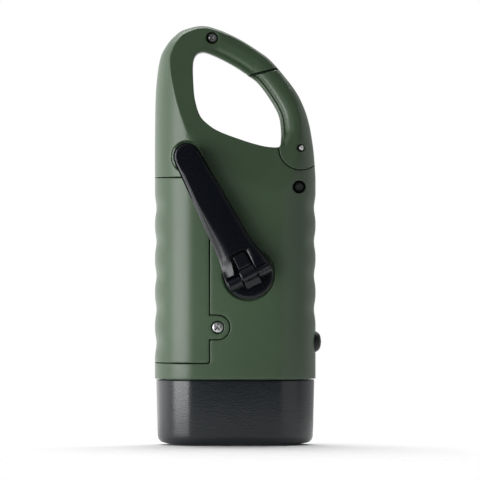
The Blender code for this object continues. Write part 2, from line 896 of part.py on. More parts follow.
def union(target, name, mesh):
    shape(target, add_cutter(name, mesh), "UNION")


def remove(target, name, mesh):
    shape(target, add_cutter(name, mesh))


def trim_half(shell, name, face):
    """Cut a shell back to its own side of the seam between the two shells."""
    side = Vector((half_width * 3, half_depth * 2, total_height * 2))
    middle = Vector((0.0, -face * (side.y / 2 - gap / 2), total_height / 2))
    remove(shell, name, block(name, middle - side / 2, middle + side / 2))


# Front shell
front_shell = build_shell("front_shell", -1)
split = gap / 2
union(front_shell, "side_boss_front",
      pin_y("side_boss_front", side_screw_x, side_screw_z, side_screw_floor + wall * 2, -overrun / 2,
            boss_radius, small_sides))
union(front_shell, "hub_boss",
      pin_y("hub_boss", hub_x, hub_z, inner_face + wall / 2, front_boss_face, front_boss_radius))
shape(front_shell, top_hole)
shape(front_shell, side_hole)
remove(front_shell, "hub_recess_cut",
       pin_y("hub_recess_cut", hub_x, hub_z, deep, half_depth - hub_recess_depth, hub_recess, fine_sides))
remove(front_shell, "bush_seat",
       pin_y("bush_seat", hub_x, hub_z, deep, front_boss_face - overrun, bush_radius + gap))
remove(front_shell, "well_cut",
       pin_y("well_cut", well_x, well_z, deep, half_depth - well_depth_from_front, well_radius))
for screw_name, screw_x, screw_z, floor in (
    ("top", top_screw_x, top_screw_z, top_screw_floor),
    ("side", side_screw_x, side_screw_z, side_screw_floor),
):
    remove(front_shell, screw_name + "_shank_cut",
           pin_y(screw_name + "_shank_cut", screw_x, screw_z, floor + overrun, -overrun * 2,
                 case_screw_shank + gap, small_sides))
remove(front_shell, "cover_opening",
       plate("cover_opening", cover_region(gap), deep, -overrun * 2))
boss_face = inner_face - gap
rib_edge = tab_x + tab_radius + gap * 2
union(front_shell, "cover_boss",
      pin_y("cover_boss", tab_x, tab_height, boss_face, boss_face - cover_boss_length,
            cover_boss_radius, small_sides))
union(front_shell, "cover_rib",
      block("cover_rib", (tab_x, -boss_face + gap, tab_height - rib_thickness / 2),
            (rib_edge + rib_thickness, -boss_face + cover_boss_length / 2, tab_height + rib_thickness / 2)))
union(front_shell, "rib_root",
      block("rib_root", (rib_edge, -boss_face - wall / 2, tab_height - rib_thickness),
            (rib_edge + rib_thickness * 2, -boss_face + cover_boss_length / 4, tab_height + rib_thickness)))
remove(front_shell, "cover_shank_hole",
       pin_y("cover_shank_hole", tab_x, tab_height, deep, boss_face - cover_boss_length + rib_thickness,
             cover_screw_shank + gap, small_sides))
for boss_name, boss_x, boss_z in (
    ("first_axle_boss", first_x, first_z), ("second_axle_boss", second_x, second_z),
    ("rotor_boss", rotor_x, rotor_z),
):
    low = {"first_axle_boss": crank_layer, "second_axle_boss": first_layer,
           "rotor_boss": second_layer}[boss_name] + gap
    union(front_shell, boss_name,
          pin_y(boss_name, boss_x, boss_z, face_depth(boss_x) - wall / 2, low, axle_radius * 3, small_sides))
    remove(front_shell, boss_name + "_bore",
           pin_y(boss_name + "_bore", boss_x, boss_z, low + axle_radius * 2, low - overrun,
                 axle_radius + gap / 2, small_sides))
trim_half(front_shell, "front_seam", -1)
for k, (x, z) in enumerate(plate_posts):
    tag = str(k + 1)
    union(front_shell, "plate_post_" + tag,
          pin_y("plate_post_" + tag, x, z, face_depth(x) - wall / 2, plate_front + gap, plate_post_radius,
                small_sides))
    remove(front_shell, "plate_post_bore_" + tag,
           pin_y("plate_post_bore_" + tag, x, z, plate_front + plate_screw_length, plate_front - overrun,
                 plate_screw_shank + gap / 2, small_sides))

# Rear shell
rear_shell = build_shell("rear_shell", 1)
union(rear_shell, "side_boss_rear",
      pin_y("side_boss_rear", side_screw_x, side_screw_z, overrun / 2, gap - side_screw_floor - boss_radius,
            boss_radius, small_sides))
for screw_name, screw_x, screw_z in (
    ("top", top_screw_x, top_screw_z), ("side", side_screw_x, side_screw_z),
):
    remove(rear_shell, screw_name + "_thread",
           pin_y(screw_name + "_thread", screw_x, screw_z, overrun * 2, -screw_depth_behind - gap,
                 case_screw_shank + gap / 2, small_sides))
solar_back = window_level - window_thickness - gap - cell_thickness - gap
panel_floor_y = solar_back - panel_thickness
remove(rear_shell, "window_seat",
       block("window_seat", (-solar_half_width - gap, solar_back, solar_low - gap),
             (solar_half_width + gap, deep, solar_high + gap)))
union(rear_shell, "panel_floor",
      block("panel_floor", (-solar_half_width - wall, panel_floor_y, solar_low - wall),
            (solar_half_width + wall, solar_back, solar_high + wall)))
for k, (x, z) in enumerate(board_screws):
    tag = str(k + 1)
    union(rear_shell, "board_post_" + tag,
          pin_y("board_post_" + tag, x, z, -main_board_back - board_thickness - gap, -solar_back + gap,
                board_post_radius, small_sides))
    remove(rear_shell, "board_post_bore_" + tag,
           pin_y("board_post_bore_" + tag, x, z, 0.0, -main_board_back - board_screw_length,
                 cover_screw_shank + gap / 2, small_sides))
for name, z in (("tray_rest_low", tray_low + tray_wall / 2), ("tray_rest_high", tray_high - tray_wall / 2)):
    union(rear_shell, name,
          block(name, (tray_back - tray_reach, tray_half_depth + gap, z - rib_thickness / 2),
                (tray_back, solar_back - gap, z + rib_thickness / 2)))
trim_half(rear_shell, "rear_seam", 1)

# Battery cover
battery_cover = add_part(
    "battery_cover",
    case_block("battery_cover", cover_low, cover_high, front=-split), green_plastic)
shape(battery_cover, main_cavity)
shape(battery_cover, add_cutter("cover_outline", plate("cover_outline", cover_region(0.0), deep, -overrun)),
      "INTERSECT")
remove(battery_cover, "cover_head_hole",
       pin_y("cover_head_hole", tab_x, tab_height, deep,
             half_depth - cover_screw_sink - cover_screw_head_height - gap, cover_screw_head + gap))
remove(battery_cover, "cover_screw_hole",
       pin_y("cover_screw_hole", tab_x, tab_height, deep, 0.0, cover_screw_shank + gap, small_sides))


def cross_screw(name, x, z, head_front, head_height, head_radius, shank_radius, length, material, facing=1):
    """A round-headed screw with a cross slot, its head towards the crank face or away from it."""
    edge = head_height / 3
    profile = [
        (0.0, head_height), (head_radius - edge, head_height), (head_radius, head_height - edge),
        (head_radius, 0.0), (shank_radius, 0.0), (shank_radius, -length), (0.0, -length),
    ]
    item = turned(name, profile, material, case_datum, "Y", small_sides)
    item.location = (x, facing * head_height - head_front, z)
    item.rotation_euler = (math.radians(90) * facing, 0.0, 0.0)
    for k, lean in enumerate((45, 135)):
        size = Vector((head_radius * cross_reach_share, cross_depth * 2, cross_slot))
        slot = block(name + "_slot", -size / 2, size / 2)
        tool = add_cutter(name + "_slot_" + str(k), slot)
        tool.location = (x, -head_front, z)
        tool.rotation_euler = (0.0, math.radians(lean), 0.0)
        shape(item, tool)
    return item


cross_screw("battery_cover_screw", tab_x, tab_height, half_depth - cover_screw_sink,
            cover_screw_head_height, cover_screw_head, cover_screw_shank, cover_screw_length, bright_steel)
cross_screw("case_screw_top", top_screw_x, top_screw_z, top_screw_floor + gap + case_screw_head_height,
            case_screw_head_height, case_screw_head, case_screw_shank,
            top_screw_floor + gap + screw_depth_behind, bright_steel)
cross_screw("case_screw_side", side_screw_x, side_screw_z, side_screw_floor + gap + case_screw_head_height,
            case_screw_head_height, case_screw_head, case_screw_shank,
            side_screw_floor + gap + screw_depth_behind, dark_steel)


def ring_section(half_x, half_y, rounding, height, sag=0.0):
    """One level section of the bezel: an oblong with elliptical ends."""
    quarter = []
    for j in range(round_steps + 1):
        angle = math.radians(90) * j / round_steps
        x = half_x - rounding * (1 - math.cos(angle))
        quarter.append((x, half_y * math.sin(angle)))
    inner_x = quarter[-1][0]
    for k in range(1, crown_steps):
        quarter.append((inner_x * (1 - k / crown_steps), half_y))
    front = quarter + [(0.0, half_y)] + [(-x, y) for x, y in reversed(quarter)]
    points = []
    for face, row in ((1, front), (-1, list(reversed(front))[1:-1])):
        for x, y in row:
            over = max(0.0, abs(x) - bezel_land) / (half_width - bezel_land)
            drop = face_crown * (x / half_width) ** 2 * (y / half_y)
            points.append(Vector((x, face * (y - drop), height + sag * over * over)))
    return points


def loft(name, sections):
    """A closed solid through sections with the same count of points."""
    bm = bmesh.new()
    rows = [[bm.verts.new(point) for point in section] for section in sections]
    count = len(rows[0])
    for low, high in zip(rows, rows[1:]):
        for k in range(count):
            bm.faces.new((low[k], low[(k + 1) % count], high[(k + 1) % count], high[k]))
    half = count // 2
    for row in (rows[0], rows[-1]):
        for k in range(half):
            corners = [row[k], row[k + 1], row[(count - k - 1) % count], row[(count - k) % count]]
            unique = []
            for corner in corners:
                if corner not in unique:
                    unique.append(corner)
            bm.faces.new(unique)
    return mesh_from(bm, name)


def bezel_solid(name, inset, low, high):
    """The bezel's form drawn in by an inset, between two heights."""
    def section(height, more=0.0, sag=0.0):
        lean = bezel_taper * (1 - min(height, bezel_height) / bezel_height)
        draw = bezel_step + lean + inset + more
        return ring_section(half_width - draw, half_depth - draw, side_round - draw, height, sag)

    if inset > 0.0:
        return loft(name, [section(low), section(high)])
    sections = []
    for k in range(round_steps):
        angle = math.radians(90) * k / (round_steps - 1)
        rise = bezel_foot_round * (1 - math.cos(angle))
        sections.append(section(low + rise, bezel_foot_draw * (1 - math.sin(angle)),
                                bezel_sag * (1 - rise / bezel_foot_round)))
    sections.append(section(high))
    return loft(name, sections)


# Bezel, lens, gasket, reflector and LED board
bezel = add_part("bezel", bezel_solid("bezel", 0.0, 0.0, bezel_height - gap), black_plastic)
remove(bezel, "bezel_chamber", bezel_solid("bezel_chamber", bezel_wall, lip_height, bezel_height + overrun))
remove(bezel, "bezel_mouth", bezel_solid("bezel_mouth", bezel_wall + lip_width, -overrun, lip_height + overrun))
play = bezel_wall + gap
add_part("lens", bezel_solid("lens", play, lens_low, lens_high), clear_plastic)
gasket = add_part("lens_gasket", bezel_solid("lens_gasket", play, gasket_low, gasket_high), button_rubber)
remove(gasket, "gasket_mouth", bezel_solid("gasket_mouth", play + gasket_width, gasket_low - overrun,
                                           gasket_high + overrun))
reflector = add_part("reflector", bezel_solid("reflector", play + reflector_play, reflector_low,
                                              reflector_high), mirror_chrome)
led_places = [-led_pitch, 0.0, led_pitch]
for k, x in enumerate(led_places):
    tag = str(k + 1)
    remove(reflector, "cup_" + tag,
           rod("cup_" + tag, (x, 0.0, reflector_low - gap), (x, 0.0, reflector_high + gap), cup_mouth,
               round_sides, led_radius + led_flange + gap))
    profile = [
        (0.0, 0.0), (led_radius + led_flange, 0.0), (led_radius + led_flange, -led_flange_height),
        (led_radius, -led_flange_height), (led_radius, led_radius - led_height),
    ]
    for step in range(1, round_steps):
        angle = math.radians(90) * step / round_steps
        profile.append((led_radius * math.cos(angle),
                        led_radius - led_height - led_radius * math.sin(angle)))
    profile.append((0.0, -led_height))
    led = turned("led_" + tag, profile, led_clear, case_datum, "Z", small_sides)
    led.location = (x, 0.0, reflector_high)
add_part("led_board", bezel_solid("led_board", play + reflector_play, led_board_low, led_board_high),
         board_green)


# Crank: hub, bush, hinge pin
hub = add_part(
    "crank_hub",
    pin_y("crank_hub", 0.0, 0.0, half_depth + hub_stand, half_depth - hub_recess_depth + gap,
          hub_radius, fine_sides), crank_plastic, crank_axis)


def crank_tool(name, mesh, target, operation):
    shape(target, add_cutter(name, mesh, crank_axis), operation)


hinge_line = half_depth + hinge_height
crank_tool("hub_knuckle", rod("hub_knuckle", (-knuckle_half, -hinge_line, 0.0),
                              (knuckle_half, -hinge_line, 0.0), barrel_radius, fine_sides // 2),
           hub, "UNION")
crank_tool("hub_neck", block("hub_neck", (-knuckle_half, -hinge_line, -neck_half),
                             (knuckle_half, -half_depth, neck_half)), hub, "UNION")
crank_tool("hub_tongue", block("hub_tongue", (-tongue_half, -half_depth - tongue_high, 0.0),
                               (tongue_half, -half_depth - tongue_low, tongue_length)), hub, "UNION")
crank_tool("hub_shaft", pin_y("hub_shaft", 0.0, 0.0, half_depth, crank_layer - wheel_thickness,
                              hub_shaft, small_sides), hub, "UNION")
crank_tool("tongue_groove", block("tongue_groove", (-tongue_half * 2, -half_depth - tongue_high - overrun,
                                                    barrel_radius),
                                  (tongue_half * 2, -half_depth - tongue_high + gap * 3,
                                   barrel_radius + gap * 2)), hub, "DIFFERENCE")
pin_hole = add_cutter("hinge_pin_hole", rod("hinge_pin_hole", (-ear_half - overrun, -hinge_line, 0.0),
                                            (ear_half + overrun, -hinge_line, 0.0),
                                            hinge_pin_radius + gap, small_sides), crank_axis)
shape(hub, pin_hole)
crank_tool("hub_screw_bore", pin_y("hub_screw_bore", 0.0, 0.0, first_layer + wheel_thickness * 3,
                                   first_layer - overrun, knob_screw_shank + gap, small_sides),
           hub, "DIFFERENCE")
add_part("crank_hinge_pin", rod("crank_hinge_pin", (-ear_half + pin_inset, -hinge_line, 0.0),
                                (ear_half - pin_inset, -hinge_line, 0.0), hinge_pin_radius, small_sides),
         bright_steel, crank_axis)
bush_low = front_boss_face - gap
turned("hub_bush", [
    (hub_shaft + shaft_play, bush_length), (bush_radius, bush_length), (bush_radius, 0.0),
    (hub_shaft + shaft_play, 0.0)], bush_brass, crank_axis, "Y", round_sides).location = (0.0, -bush_low, 0.0)


# Crank arm, forked round the hub's knuckle
def arm_outline():
    """The arm's outline about its hinge: X across, Z along."""
    right = [(ear_half, 0.0), (ear_half, ear_length), (arm_root_half, slot_top),
             (arm_middle_half, arm_middle)]
    tip = arc(0.0, arm_length, arm_tip_half, 3, 177, small_sides)
    left = [(-x, z) for x, z in reversed(right)]
    return right + tip + left


arm_front = arm_underside + arm_thickness - hinge_height
arm_back = arm_underside - hinge_height
arm = add_part("crank_arm", plate("crank_arm", arm_outline(), arm_front, arm_back), crank_plastic, arm_hinge)


def arm_tool(name, mesh, operation):
    shape(arm, add_cutter(name, mesh, arm_hinge), operation)


arm_tool("arm_barrel", rod("arm_barrel", (-ear_half, 0.0, 0.0), (ear_half, 0.0, 0.0), barrel_radius,
                           fine_sides // 2), "UNION")
arm_tool("arm_peg", pin_y("arm_peg", 0.0, arm_length, arm_front - arm_thickness / 2,
                          knob_lift + knob_counterbore_depth + gap - hinge_height, knob_peg, small_sides),
         "UNION")
slot_half = knuckle_half + gap
slot_outline = [(-slot_half, -barrel_radius * 2), (slot_half, -barrel_radius * 2)]
slot_outline += arc(slot_half - slot_corner, slot_top - slot_corner, slot_corner, 0, 90, 4)
slot_outline += arc(slot_corner - slot_half, slot_top - slot_corner, slot_corner, 90, 180, 4)
arm_tool("arm_slot", plate("arm_slot", slot_outline, barrel_radius * 2, -barrel_radius * 2), "DIFFERENCE")
shape(arm, pin_hole)
arm_tool("peg_bore", pin_y("peg_bore", 0.0, arm_length, arm_back, -hinge_height - overrun,
                           knob_screw_shank + gap / 2, small_sides), "DIFFERENCE")

# Knob and its screw, seen when the arm is folded out
knob_low = knob_lift - hinge_height
turned("crank_knob", [
    (knob_bore, knob_height), (knob_radius - knob_round, knob_height), (knob_radius, knob_height - knob_round),
    (knob_radius, knob_round), (knob_radius - knob_round, 0.0), (knob_counterbore, 0.0),
    (knob_counterbore, knob_counterbore_depth), (knob_bore, knob_counterbore_depth),
], crank_plastic, knob_axis, "Y", round_sides).location = (0.0, -knob_low, 0.0)
knob_screw = turned("knob_screw", [
    (0.0, knob_screw_height + knob_screw_length), (knob_screw_shank, knob_screw_height + knob_screw_length),
    (knob_screw_shank, knob_screw_height), (knob_screw_head, knob_screw_height), (knob_screw_head, 0.0),
    (0.0, 0.0)], bright_steel, knob_axis, "Y", small_sides)
knob_screw.location = (0.0, -knob_low - gap, 0.0)


def gear_outline(teeth, phase):
    """A toothed outline about its own centre; phase is the angle of one tooth."""
    pitch = module_size * teeth / 2
    tip = pitch + module_size * addendum_share
    root = pitch - module_size * dedendum_share
    step = 2 * math.pi / teeth
    points = []
    for k in range(teeth):
        middle = phase + step * k
        for radius, offset in (
            (root, -step * root_width_share / 2), (tip, -step * tip_width_share / 2),
            (tip, step * tip_width_share / 2), (root, step * root_width_share / 2),
        ):
            points.append((radius * math.cos(middle + offset), radius * math.sin(middle + offset)))
    return points


def gear(name, axis, teeth, phase, front, material, bore, pinion=0, pinion_phase=0.0):
    """A gear wheel with its bore, and a pinion in front of it if asked."""
    wheel = plate(name, gear_outline(teeth, phase), front, front - wheel_thickness)
    item = add_part(name, wheel, material, axis)
    if pinion:
        teeth_block = plate(name + "_pinion", gear_outline(pinion, pinion_phase),
                            front + wheel_thickness + layer_gap + gap, front - wheel_thickness / 2)
        shape(item, add_cutter(name + "_pinion", teeth_block, axis), "UNION")
    hole = pin_y(name + "_bore", 0.0, 0.0, front + wheel_thickness * 3, front - wheel_thickness * 2, bore,
                 small_sides)
    shape(item, add_cutter(name + "_bore", hole, axis))
    return item


half_tooth = math.pi / pinion_teeth
gear("crank_gear", crank_axis, crank_teeth, angle_first - arm_lean, crank_layer, gear_nylon,
     hub_shaft + gap / 2)
gear("gear_1", first_axis, wheel_teeth, angle_second, first_layer, gear_nylon, axle_radius + gear_bore_play,
     pinion_teeth, angle_first + math.pi + half_tooth)
gear("gear_2", second_axis, second_wheel_teeth, angle_rotor, second_layer, gear_nylon,
     axle_radius + gear_bore_play, pinion_teeth, angle_second + math.pi + half_tooth)
rotor_pinion = add_part(
    "rotor_pinion",
    plate("rotor_pinion", gear_outline(pinion_teeth, angle_rotor + math.pi + half_tooth),
          second_layer + gap, rotor_front + gap), bush_brass, rotor_axis)
shape(rotor_pinion, add_cutter("rotor_pinion_bore", pin_y(
    "rotor_pinion_bore", 0.0, 0.0, deep, -deep, axle_radius + gap / 2, small_sides), rotor_axis))
rotor = add_part("rotor_magnet", pin_y("rotor_magnet", 0.0, 0.0, rotor_front, rotor_back, rotor_radius),
                 magnet_grey, rotor_axis)
shape(rotor, add_cutter("rotor_bore", pin_y(
    "rotor_bore", 0.0, 0.0, deep, -deep, axle_radius + gap / 2, small_sides), rotor_axis))
crank_screw = turned("crank_gear_screw", [
    (0.0, 0.0), (knob_screw_shank, 0.0), (knob_screw_shank, -knob_screw_height * 2),
    (gear_screw_head, -knob_screw_height * 2), (gear_screw_head, -knob_screw_height * 3),
    (0.0, -knob_screw_height * 3)], bright_steel, crank_axis, "Y", small_sides)
crank_screw.location = (0.0, -(crank_layer - wheel_thickness - gap + knob_screw_height * 2), 0.0)

# Axles, gearbox plate, stator core and coil
for name, axis, top in (
    ("axle_1", first_axis, crank_layer), ("axle_2", second_axis, first_layer),
    ("rotor_shaft", rotor_axis, second_layer),
):
    add_part(name, pin_y(name, 0.0, 0.0, top + gap + axle_engagement, plate_back, axle_radius, small_sides),
             bright_steel, axis)
plate_margin = axle_radius * 4
core_outer = rotor_radius + air_gap + core_ring
coil_side = rotor_x - core_window - plate_margin
corners = [
    (lower_post_x - plate_ear, lower_post_z - plate_ear), (lower_post_x + plate_ear, lower_post_z - plate_ear),
    (coil_side, hub_z - plate_margin), (coil_side, rotor_z - core_outer),
    (rotor_x + rotor_radius, rotor_z - core_outer), (side_post_x + plate_ear, side_post_z - gap),
    (side_post_x - plate_post_radius, side_post_z + plate_ear + gap),
    (upper_post_x, upper_post_z + plate_ear), (upper_post_x - plate_ear, upper_post_z),
    (lower_post_x - plate_ear, hub_z),
]
gearbox_plate = add_part(
    "gearbox_plate", plate("gearbox_plate", corners, plate_front, plate_back), black_plastic)
for name, x, z in (("first", first_x, first_z), ("second", second_x, second_z), ("rotor", rotor_x, rotor_z)):
    remove(gearbox_plate, "plate_bore_" + name,
           pin_y("plate_bore_" + name, x, z, deep, -deep, axle_radius + gap / 2, small_sides))
for k, (x, z) in enumerate(plate_posts):
    tag = str(k + 1)
    remove(gearbox_plate, "plate_screw_hole_" + tag,
           pin_y("plate_screw_hole_" + tag, x, z, deep, -deep, plate_screw_shank + gap, small_sides))
    cross_screw("plate_screw_" + tag, x, z, plate_back - gap - plate_screw_head_height,
                plate_screw_head_height, plate_screw_head, plate_screw_shank, plate_screw_length,
                bright_steel, -1)
core_back = plate_front + gap
core_front = core_back + core_thickness
core_middle = (core_front + core_back) / 2
leg_outer = core_window + core_leg
leg_angle = math.degrees(math.asin(leg_outer / core_outer))
core_low = rotor_z - core_drop - core_yoke / 2
core_outline = [(rotor_x - leg_outer, core_low), (rotor_x + leg_outer, core_low)]
core_outline += arc(rotor_x, rotor_z, core_outer, leg_angle - 90, 270 - leg_angle, round_sides)
core = add_part("stator_core", plate("stator_core", core_outline, core_front, core_back), core_iron)
remove(core, "core_bore", pin_y("core_bore", rotor_x, rotor_z, deep, -deep, rotor_radius + air_gap, fine_sides))
remove(core, "core_window", block("core_window", (rotor_x - core_window, -deep, core_low + core_yoke),
                                  (rotor_x + core_window, deep, rotor_z - rotor_radius / 2)))
coil = turned("stator_coil", [
    (coil_bore, core_window - gap), (coil_radius, core_window - gap), (coil_radius, gap - core_window),
    (coil_bore, gap - core_window)], coil_copper, case_datum, "X", round_sides)
coil.location = (rotor_x, -core_middle, core_low + core_yoke / 2)

# Push button, plunger and switch
turned("push_button", [
    *((button_radius * r, button_dome * h) for r, h in button_shares), (button_radius, -button_skirt),
    (button_flange, -button_skirt), (button_flange, -button_skirt - button_flange_thickness),
    (0.0, -button_skirt - button_flange_thickness)], button_rubber, button_axis, "X", round_sides)
plunger_out = half_width - button_skirt - button_flange_thickness - gap
add_part("switch_plunger", rod("switch_plunger", (switch_front - half_width - plunger_engagement, 0.0, 0.0),
                               (plunger_out - half_width, 0.0, 0.0), plunger_radius, small_sides),
         gear_nylon, button_axis)
switch = add_part("switch_body", block(
    "switch_body", (switch_front - switch_length, -switch_half_depth, button_z - switch_half_height),
    (switch_front, main_board_back - gap, button_z + switch_half_height)), black_plastic)
remove(switch, "plunger_bore", rod("plunger_bore", (switch_front - plunger_bore_depth, 0.0, button_z),
                                   (switch_front + overrun, 0.0, button_z), plunger_bore, small_sides))

# Battery tray, cells and contacts
tray = add_part("battery_tray", block("battery_tray", (cell_x - tray_reach, -tray_half_depth, tray_low),
                                      (tray_back + tray_wall, tray_half_depth, tray_high)), black_plastic)
remove(tray, "tray_room", block("tray_room", (cell_x - cell_radius * 2, -deep, tray_low + tray_wall),
                                (tray_back, deep, tray_high - tray_wall)))
cell_y = cell_radius + gap / 2
for k, side in enumerate((-1, 1)):
    tag = str(k + 1)
    cell = turned("battery_cell_" + tag, [
        (0.0, cell_length + cell_nub_height), (cell_nub, cell_length + cell_nub_height),
        (cell_nub, cell_length), (cell_radius, cell_length), (cell_radius, 0.0), (0.0, 0.0)],
        cell_wrap, case_datum, "Z", fine_sides // 2)
    cell.location = (cell_x, side * cell_y, cell_low)
    spring_points = []
    rise = spring_height - gap - spring_wire * 2
    for step in range(spring_turns * coil_sides + 1):
        angle = 2 * math.pi * step / coil_sides
        spring_points.append((spring_radius * math.cos(angle), spring_radius * math.sin(angle),
                              rise * step / (spring_turns * coil_sides)))
    spring = wire("cell_spring_" + tag, spring_points, spring_wire, contact_nickel)
    spring.location = (cell_x, side * cell_y, cell_low - spring_height + spring_wire)
contact_reach = cell_x - tray_reach + contact_play
for name, low in (("contact_lower", tray_low + tray_wall + contact_play),
                  ("contact_upper", tray_high - tray_wall - contact_play - contact_thickness)):
    add_part(name, block(name, (contact_reach, contact_play - tray_half_depth, low),
                         (tray_back - contact_play, tray_half_depth - contact_play, low + contact_thickness)),
             contact_nickel)

# Main board and what is on it
main_board = add_part("main_board", block("main_board", (board_left, main_board_back, board_low),
                                          (board_right, main_board_back + board_thickness, board_high)),
                      board_green)
for k, (x, z) in enumerate(board_screws):
    tag = str(k + 1)
    remove(main_board, "board_hole_" + tag,
           pin_y("board_hole_" + tag, x, z, deep, -deep, cover_screw_shank + gap, small_sides))
    cross_screw("board_screw_" + tag, x, z, gap - main_board_back + cover_screw_head_height,
                cover_screw_head_height, cover_screw_head, cover_screw_shank, board_screw_length, bright_steel)
face_y = main_board_back - gap
can_x = board_left + capacitor_inset
can_z = board_low + boss_radius * 2
add_part("capacitor", rod("capacitor", (can_x, face_y, can_z), (can_x, face_y - capacitor_length, can_z),
                          capacitor_radius, small_sides), magnet_grey)
chip_x = (board_left + board_right) / 2
add_part("charge_chip", block("charge_chip", (chip_x - chip_half, face_y - chip_height, button_z - chip_half),
                              (chip_x + chip_half, face_y, button_z + chip_half)), black_plastic)
diode_z = button_z + switch_half_height + boss_radius
add_part("charge_diode", rod("charge_diode", (chip_x - diode_length / 2, face_y - diode_radius, diode_z),
                             (chip_x + diode_length / 2, face_y - diode_radius, diode_z), diode_radius,
                             small_sides), dark_steel)

# Solar cell and its window
cell_back = solar_back + gap
add_part("solar_cell", block(
    "solar_cell", (cell_margin - solar_half_width, cell_back, solar_low + cell_margin),
    (solar_half_width - cell_margin, cell_back + cell_thickness, solar_high - cell_margin)), solar_blue)
add_part("solar_window", block(
    "solar_window", (-solar_half_width, cell_back + cell_thickness + gap, solar_low),
    (solar_half_width, window_level, solar_high)), clear_plastic)

# Gate, its pin and its spring
gate_low = pivot_z - gate_boss - overrun
gate = add_part("gate", case_block("gate", gate_low), green_plastic, case_datum)
shape(gate, hole_cutter)
shape(gate, add_cutter("gate_outline", plate("gate_outline", gate_region(0.0), deep, -deep)), "INTERSECT")
pocket = pin_y("gate_pocket", pivot_x, pivot_z, gate_slot, -gate_slot, gate_pocket)
remove(gate, "gate_pocket", pocket)
lean = math.radians(gate_floor_angle)
along = Vector((math.cos(lean), math.sin(lean)))
below = Vector((-along.y, along.x))
pivot = Vector((pivot_x, pivot_z))
wide = along * gate_boss * 2
wedge = [tuple(pivot + wide), tuple(pivot - wide), tuple(pivot - wide + below * gate_boss * 2),
         tuple(pivot + wide + below * gate_boss * 2)]
remove(gate, "gate_wedge", plate("gate_wedge", wedge, gate_slot, -gate_slot))
remove(gate, "gate_pin_bore", pin_y("gate_pin_bore", pivot_x, pivot_z, deep, -deep, gate_pin_hole, small_sides))
add_part("gate_pin", pin_y("gate_pin", 0.0, 0.0, pivot_half_depth - gate_pin_sink,
                           gate_pin_sink - pivot_half_depth, gate_pin_radius, small_sides),
         bright_steel, gate_axis)
coil_points = []
leg_angle = math.radians(gate_spring_leg_angle)
start = gate_slot - gate_spring_wire * 3
for step in range(gate_spring_turns * coil_sides + 1):
    angle = leg_angle + 2 * math.pi * step / coil_sides
    coil_points.append((gate_spring_radius * math.cos(angle),
                        -start + gate_spring_pitch * step / coil_sides,
                        gate_spring_radius * math.sin(angle)))
first = Vector(coil_points[0])
outward = Vector((math.cos(leg_angle), 0.0, math.sin(leg_angle)))
coil_points.insert(0, tuple(outward * gate_spring_leg + Vector((0.0, first.y, 0.0))))
wire("gate_spring", coil_points, gate_spring_wire, bright_steel, gate_axis)

# Leads from the LED board up to the main board
for k, lead_material in enumerate((lead_red, black_plastic)):
    x = lead_x + lead_pitch * k
    lead_path = smooth_path([
        (x, 0.0, led_board_high + gap), (x, 0.0, led_board_high + gap + lead_tail),
        (x, face_y - lead_radius, board_low), (x, face_y - lead_radius, board_low + lead_tail),
    ], curve_steps)
    wire("led_lead_" + str(k + 1), lead_path, lead_radius, lead_material)
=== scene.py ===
"""Looks of the hand-cranked solar flashlight, standing on its lens end.

Shapes are worked out in millimetres in the case's own frame: X across, Y from the crank
face (negative) to the solar face, Z up. A piece becomes metres in the model's frame as it
is made. The case's reliefs are drawn in X and Z, their height measured out from the centre
plane; the crank's are drawn across and along it.
"""
import math

import bpy
import numpy as np
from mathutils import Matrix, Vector, kdtree
from mathutils.geometry import delaunay_2d_cdt


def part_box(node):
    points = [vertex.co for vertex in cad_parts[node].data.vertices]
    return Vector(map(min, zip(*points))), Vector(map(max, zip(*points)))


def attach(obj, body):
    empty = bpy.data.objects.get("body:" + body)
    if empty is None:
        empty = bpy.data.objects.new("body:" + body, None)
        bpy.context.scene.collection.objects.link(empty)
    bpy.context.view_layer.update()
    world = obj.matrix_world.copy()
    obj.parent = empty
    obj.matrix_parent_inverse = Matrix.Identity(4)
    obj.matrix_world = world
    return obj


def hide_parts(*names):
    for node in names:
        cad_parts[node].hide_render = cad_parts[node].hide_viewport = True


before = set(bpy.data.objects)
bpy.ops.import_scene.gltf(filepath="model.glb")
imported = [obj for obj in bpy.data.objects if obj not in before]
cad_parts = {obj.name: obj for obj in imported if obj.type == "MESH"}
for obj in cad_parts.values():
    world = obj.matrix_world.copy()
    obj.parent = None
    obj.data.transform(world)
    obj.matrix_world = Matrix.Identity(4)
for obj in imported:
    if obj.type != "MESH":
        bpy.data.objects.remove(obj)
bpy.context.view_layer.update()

# Sizes of the case, in millimetres
per_metre = 1000.0
half_width, half_depth, crown, side_round = 25.9, 16.0, 2.9, 12.6
loop_base, loop_height, seam_height = 86.0, 49.0, 21.3
wall, inner_face = 1.8, 13.0
gap = 0.3
edge_round = 0.28
thin = 0.02
datum = np.array([-0.9, 3.2, 0.0])
hub_x, hub_z, lean = 4.2994, 54.9, math.atan(0.5238)
well_x, well_z = -15.4673, 92.6364
pivot_x, pivot_z, foot_radius = 21.0489, 95.5011, 6.9
top_screw = (-7.3997, 131.0016)
side_screw = (20.5, 83.0)
cover_screw = (-5.6, 38.0)
cover_low, cover_high, cover_x, tab_radius, cover_corner = 26.6, 85.9, -8.3, 3.8, 0.8
hinge_height, arm_length = 19.5, 42.6
button_z, notch_radius = 33.2, 3.7

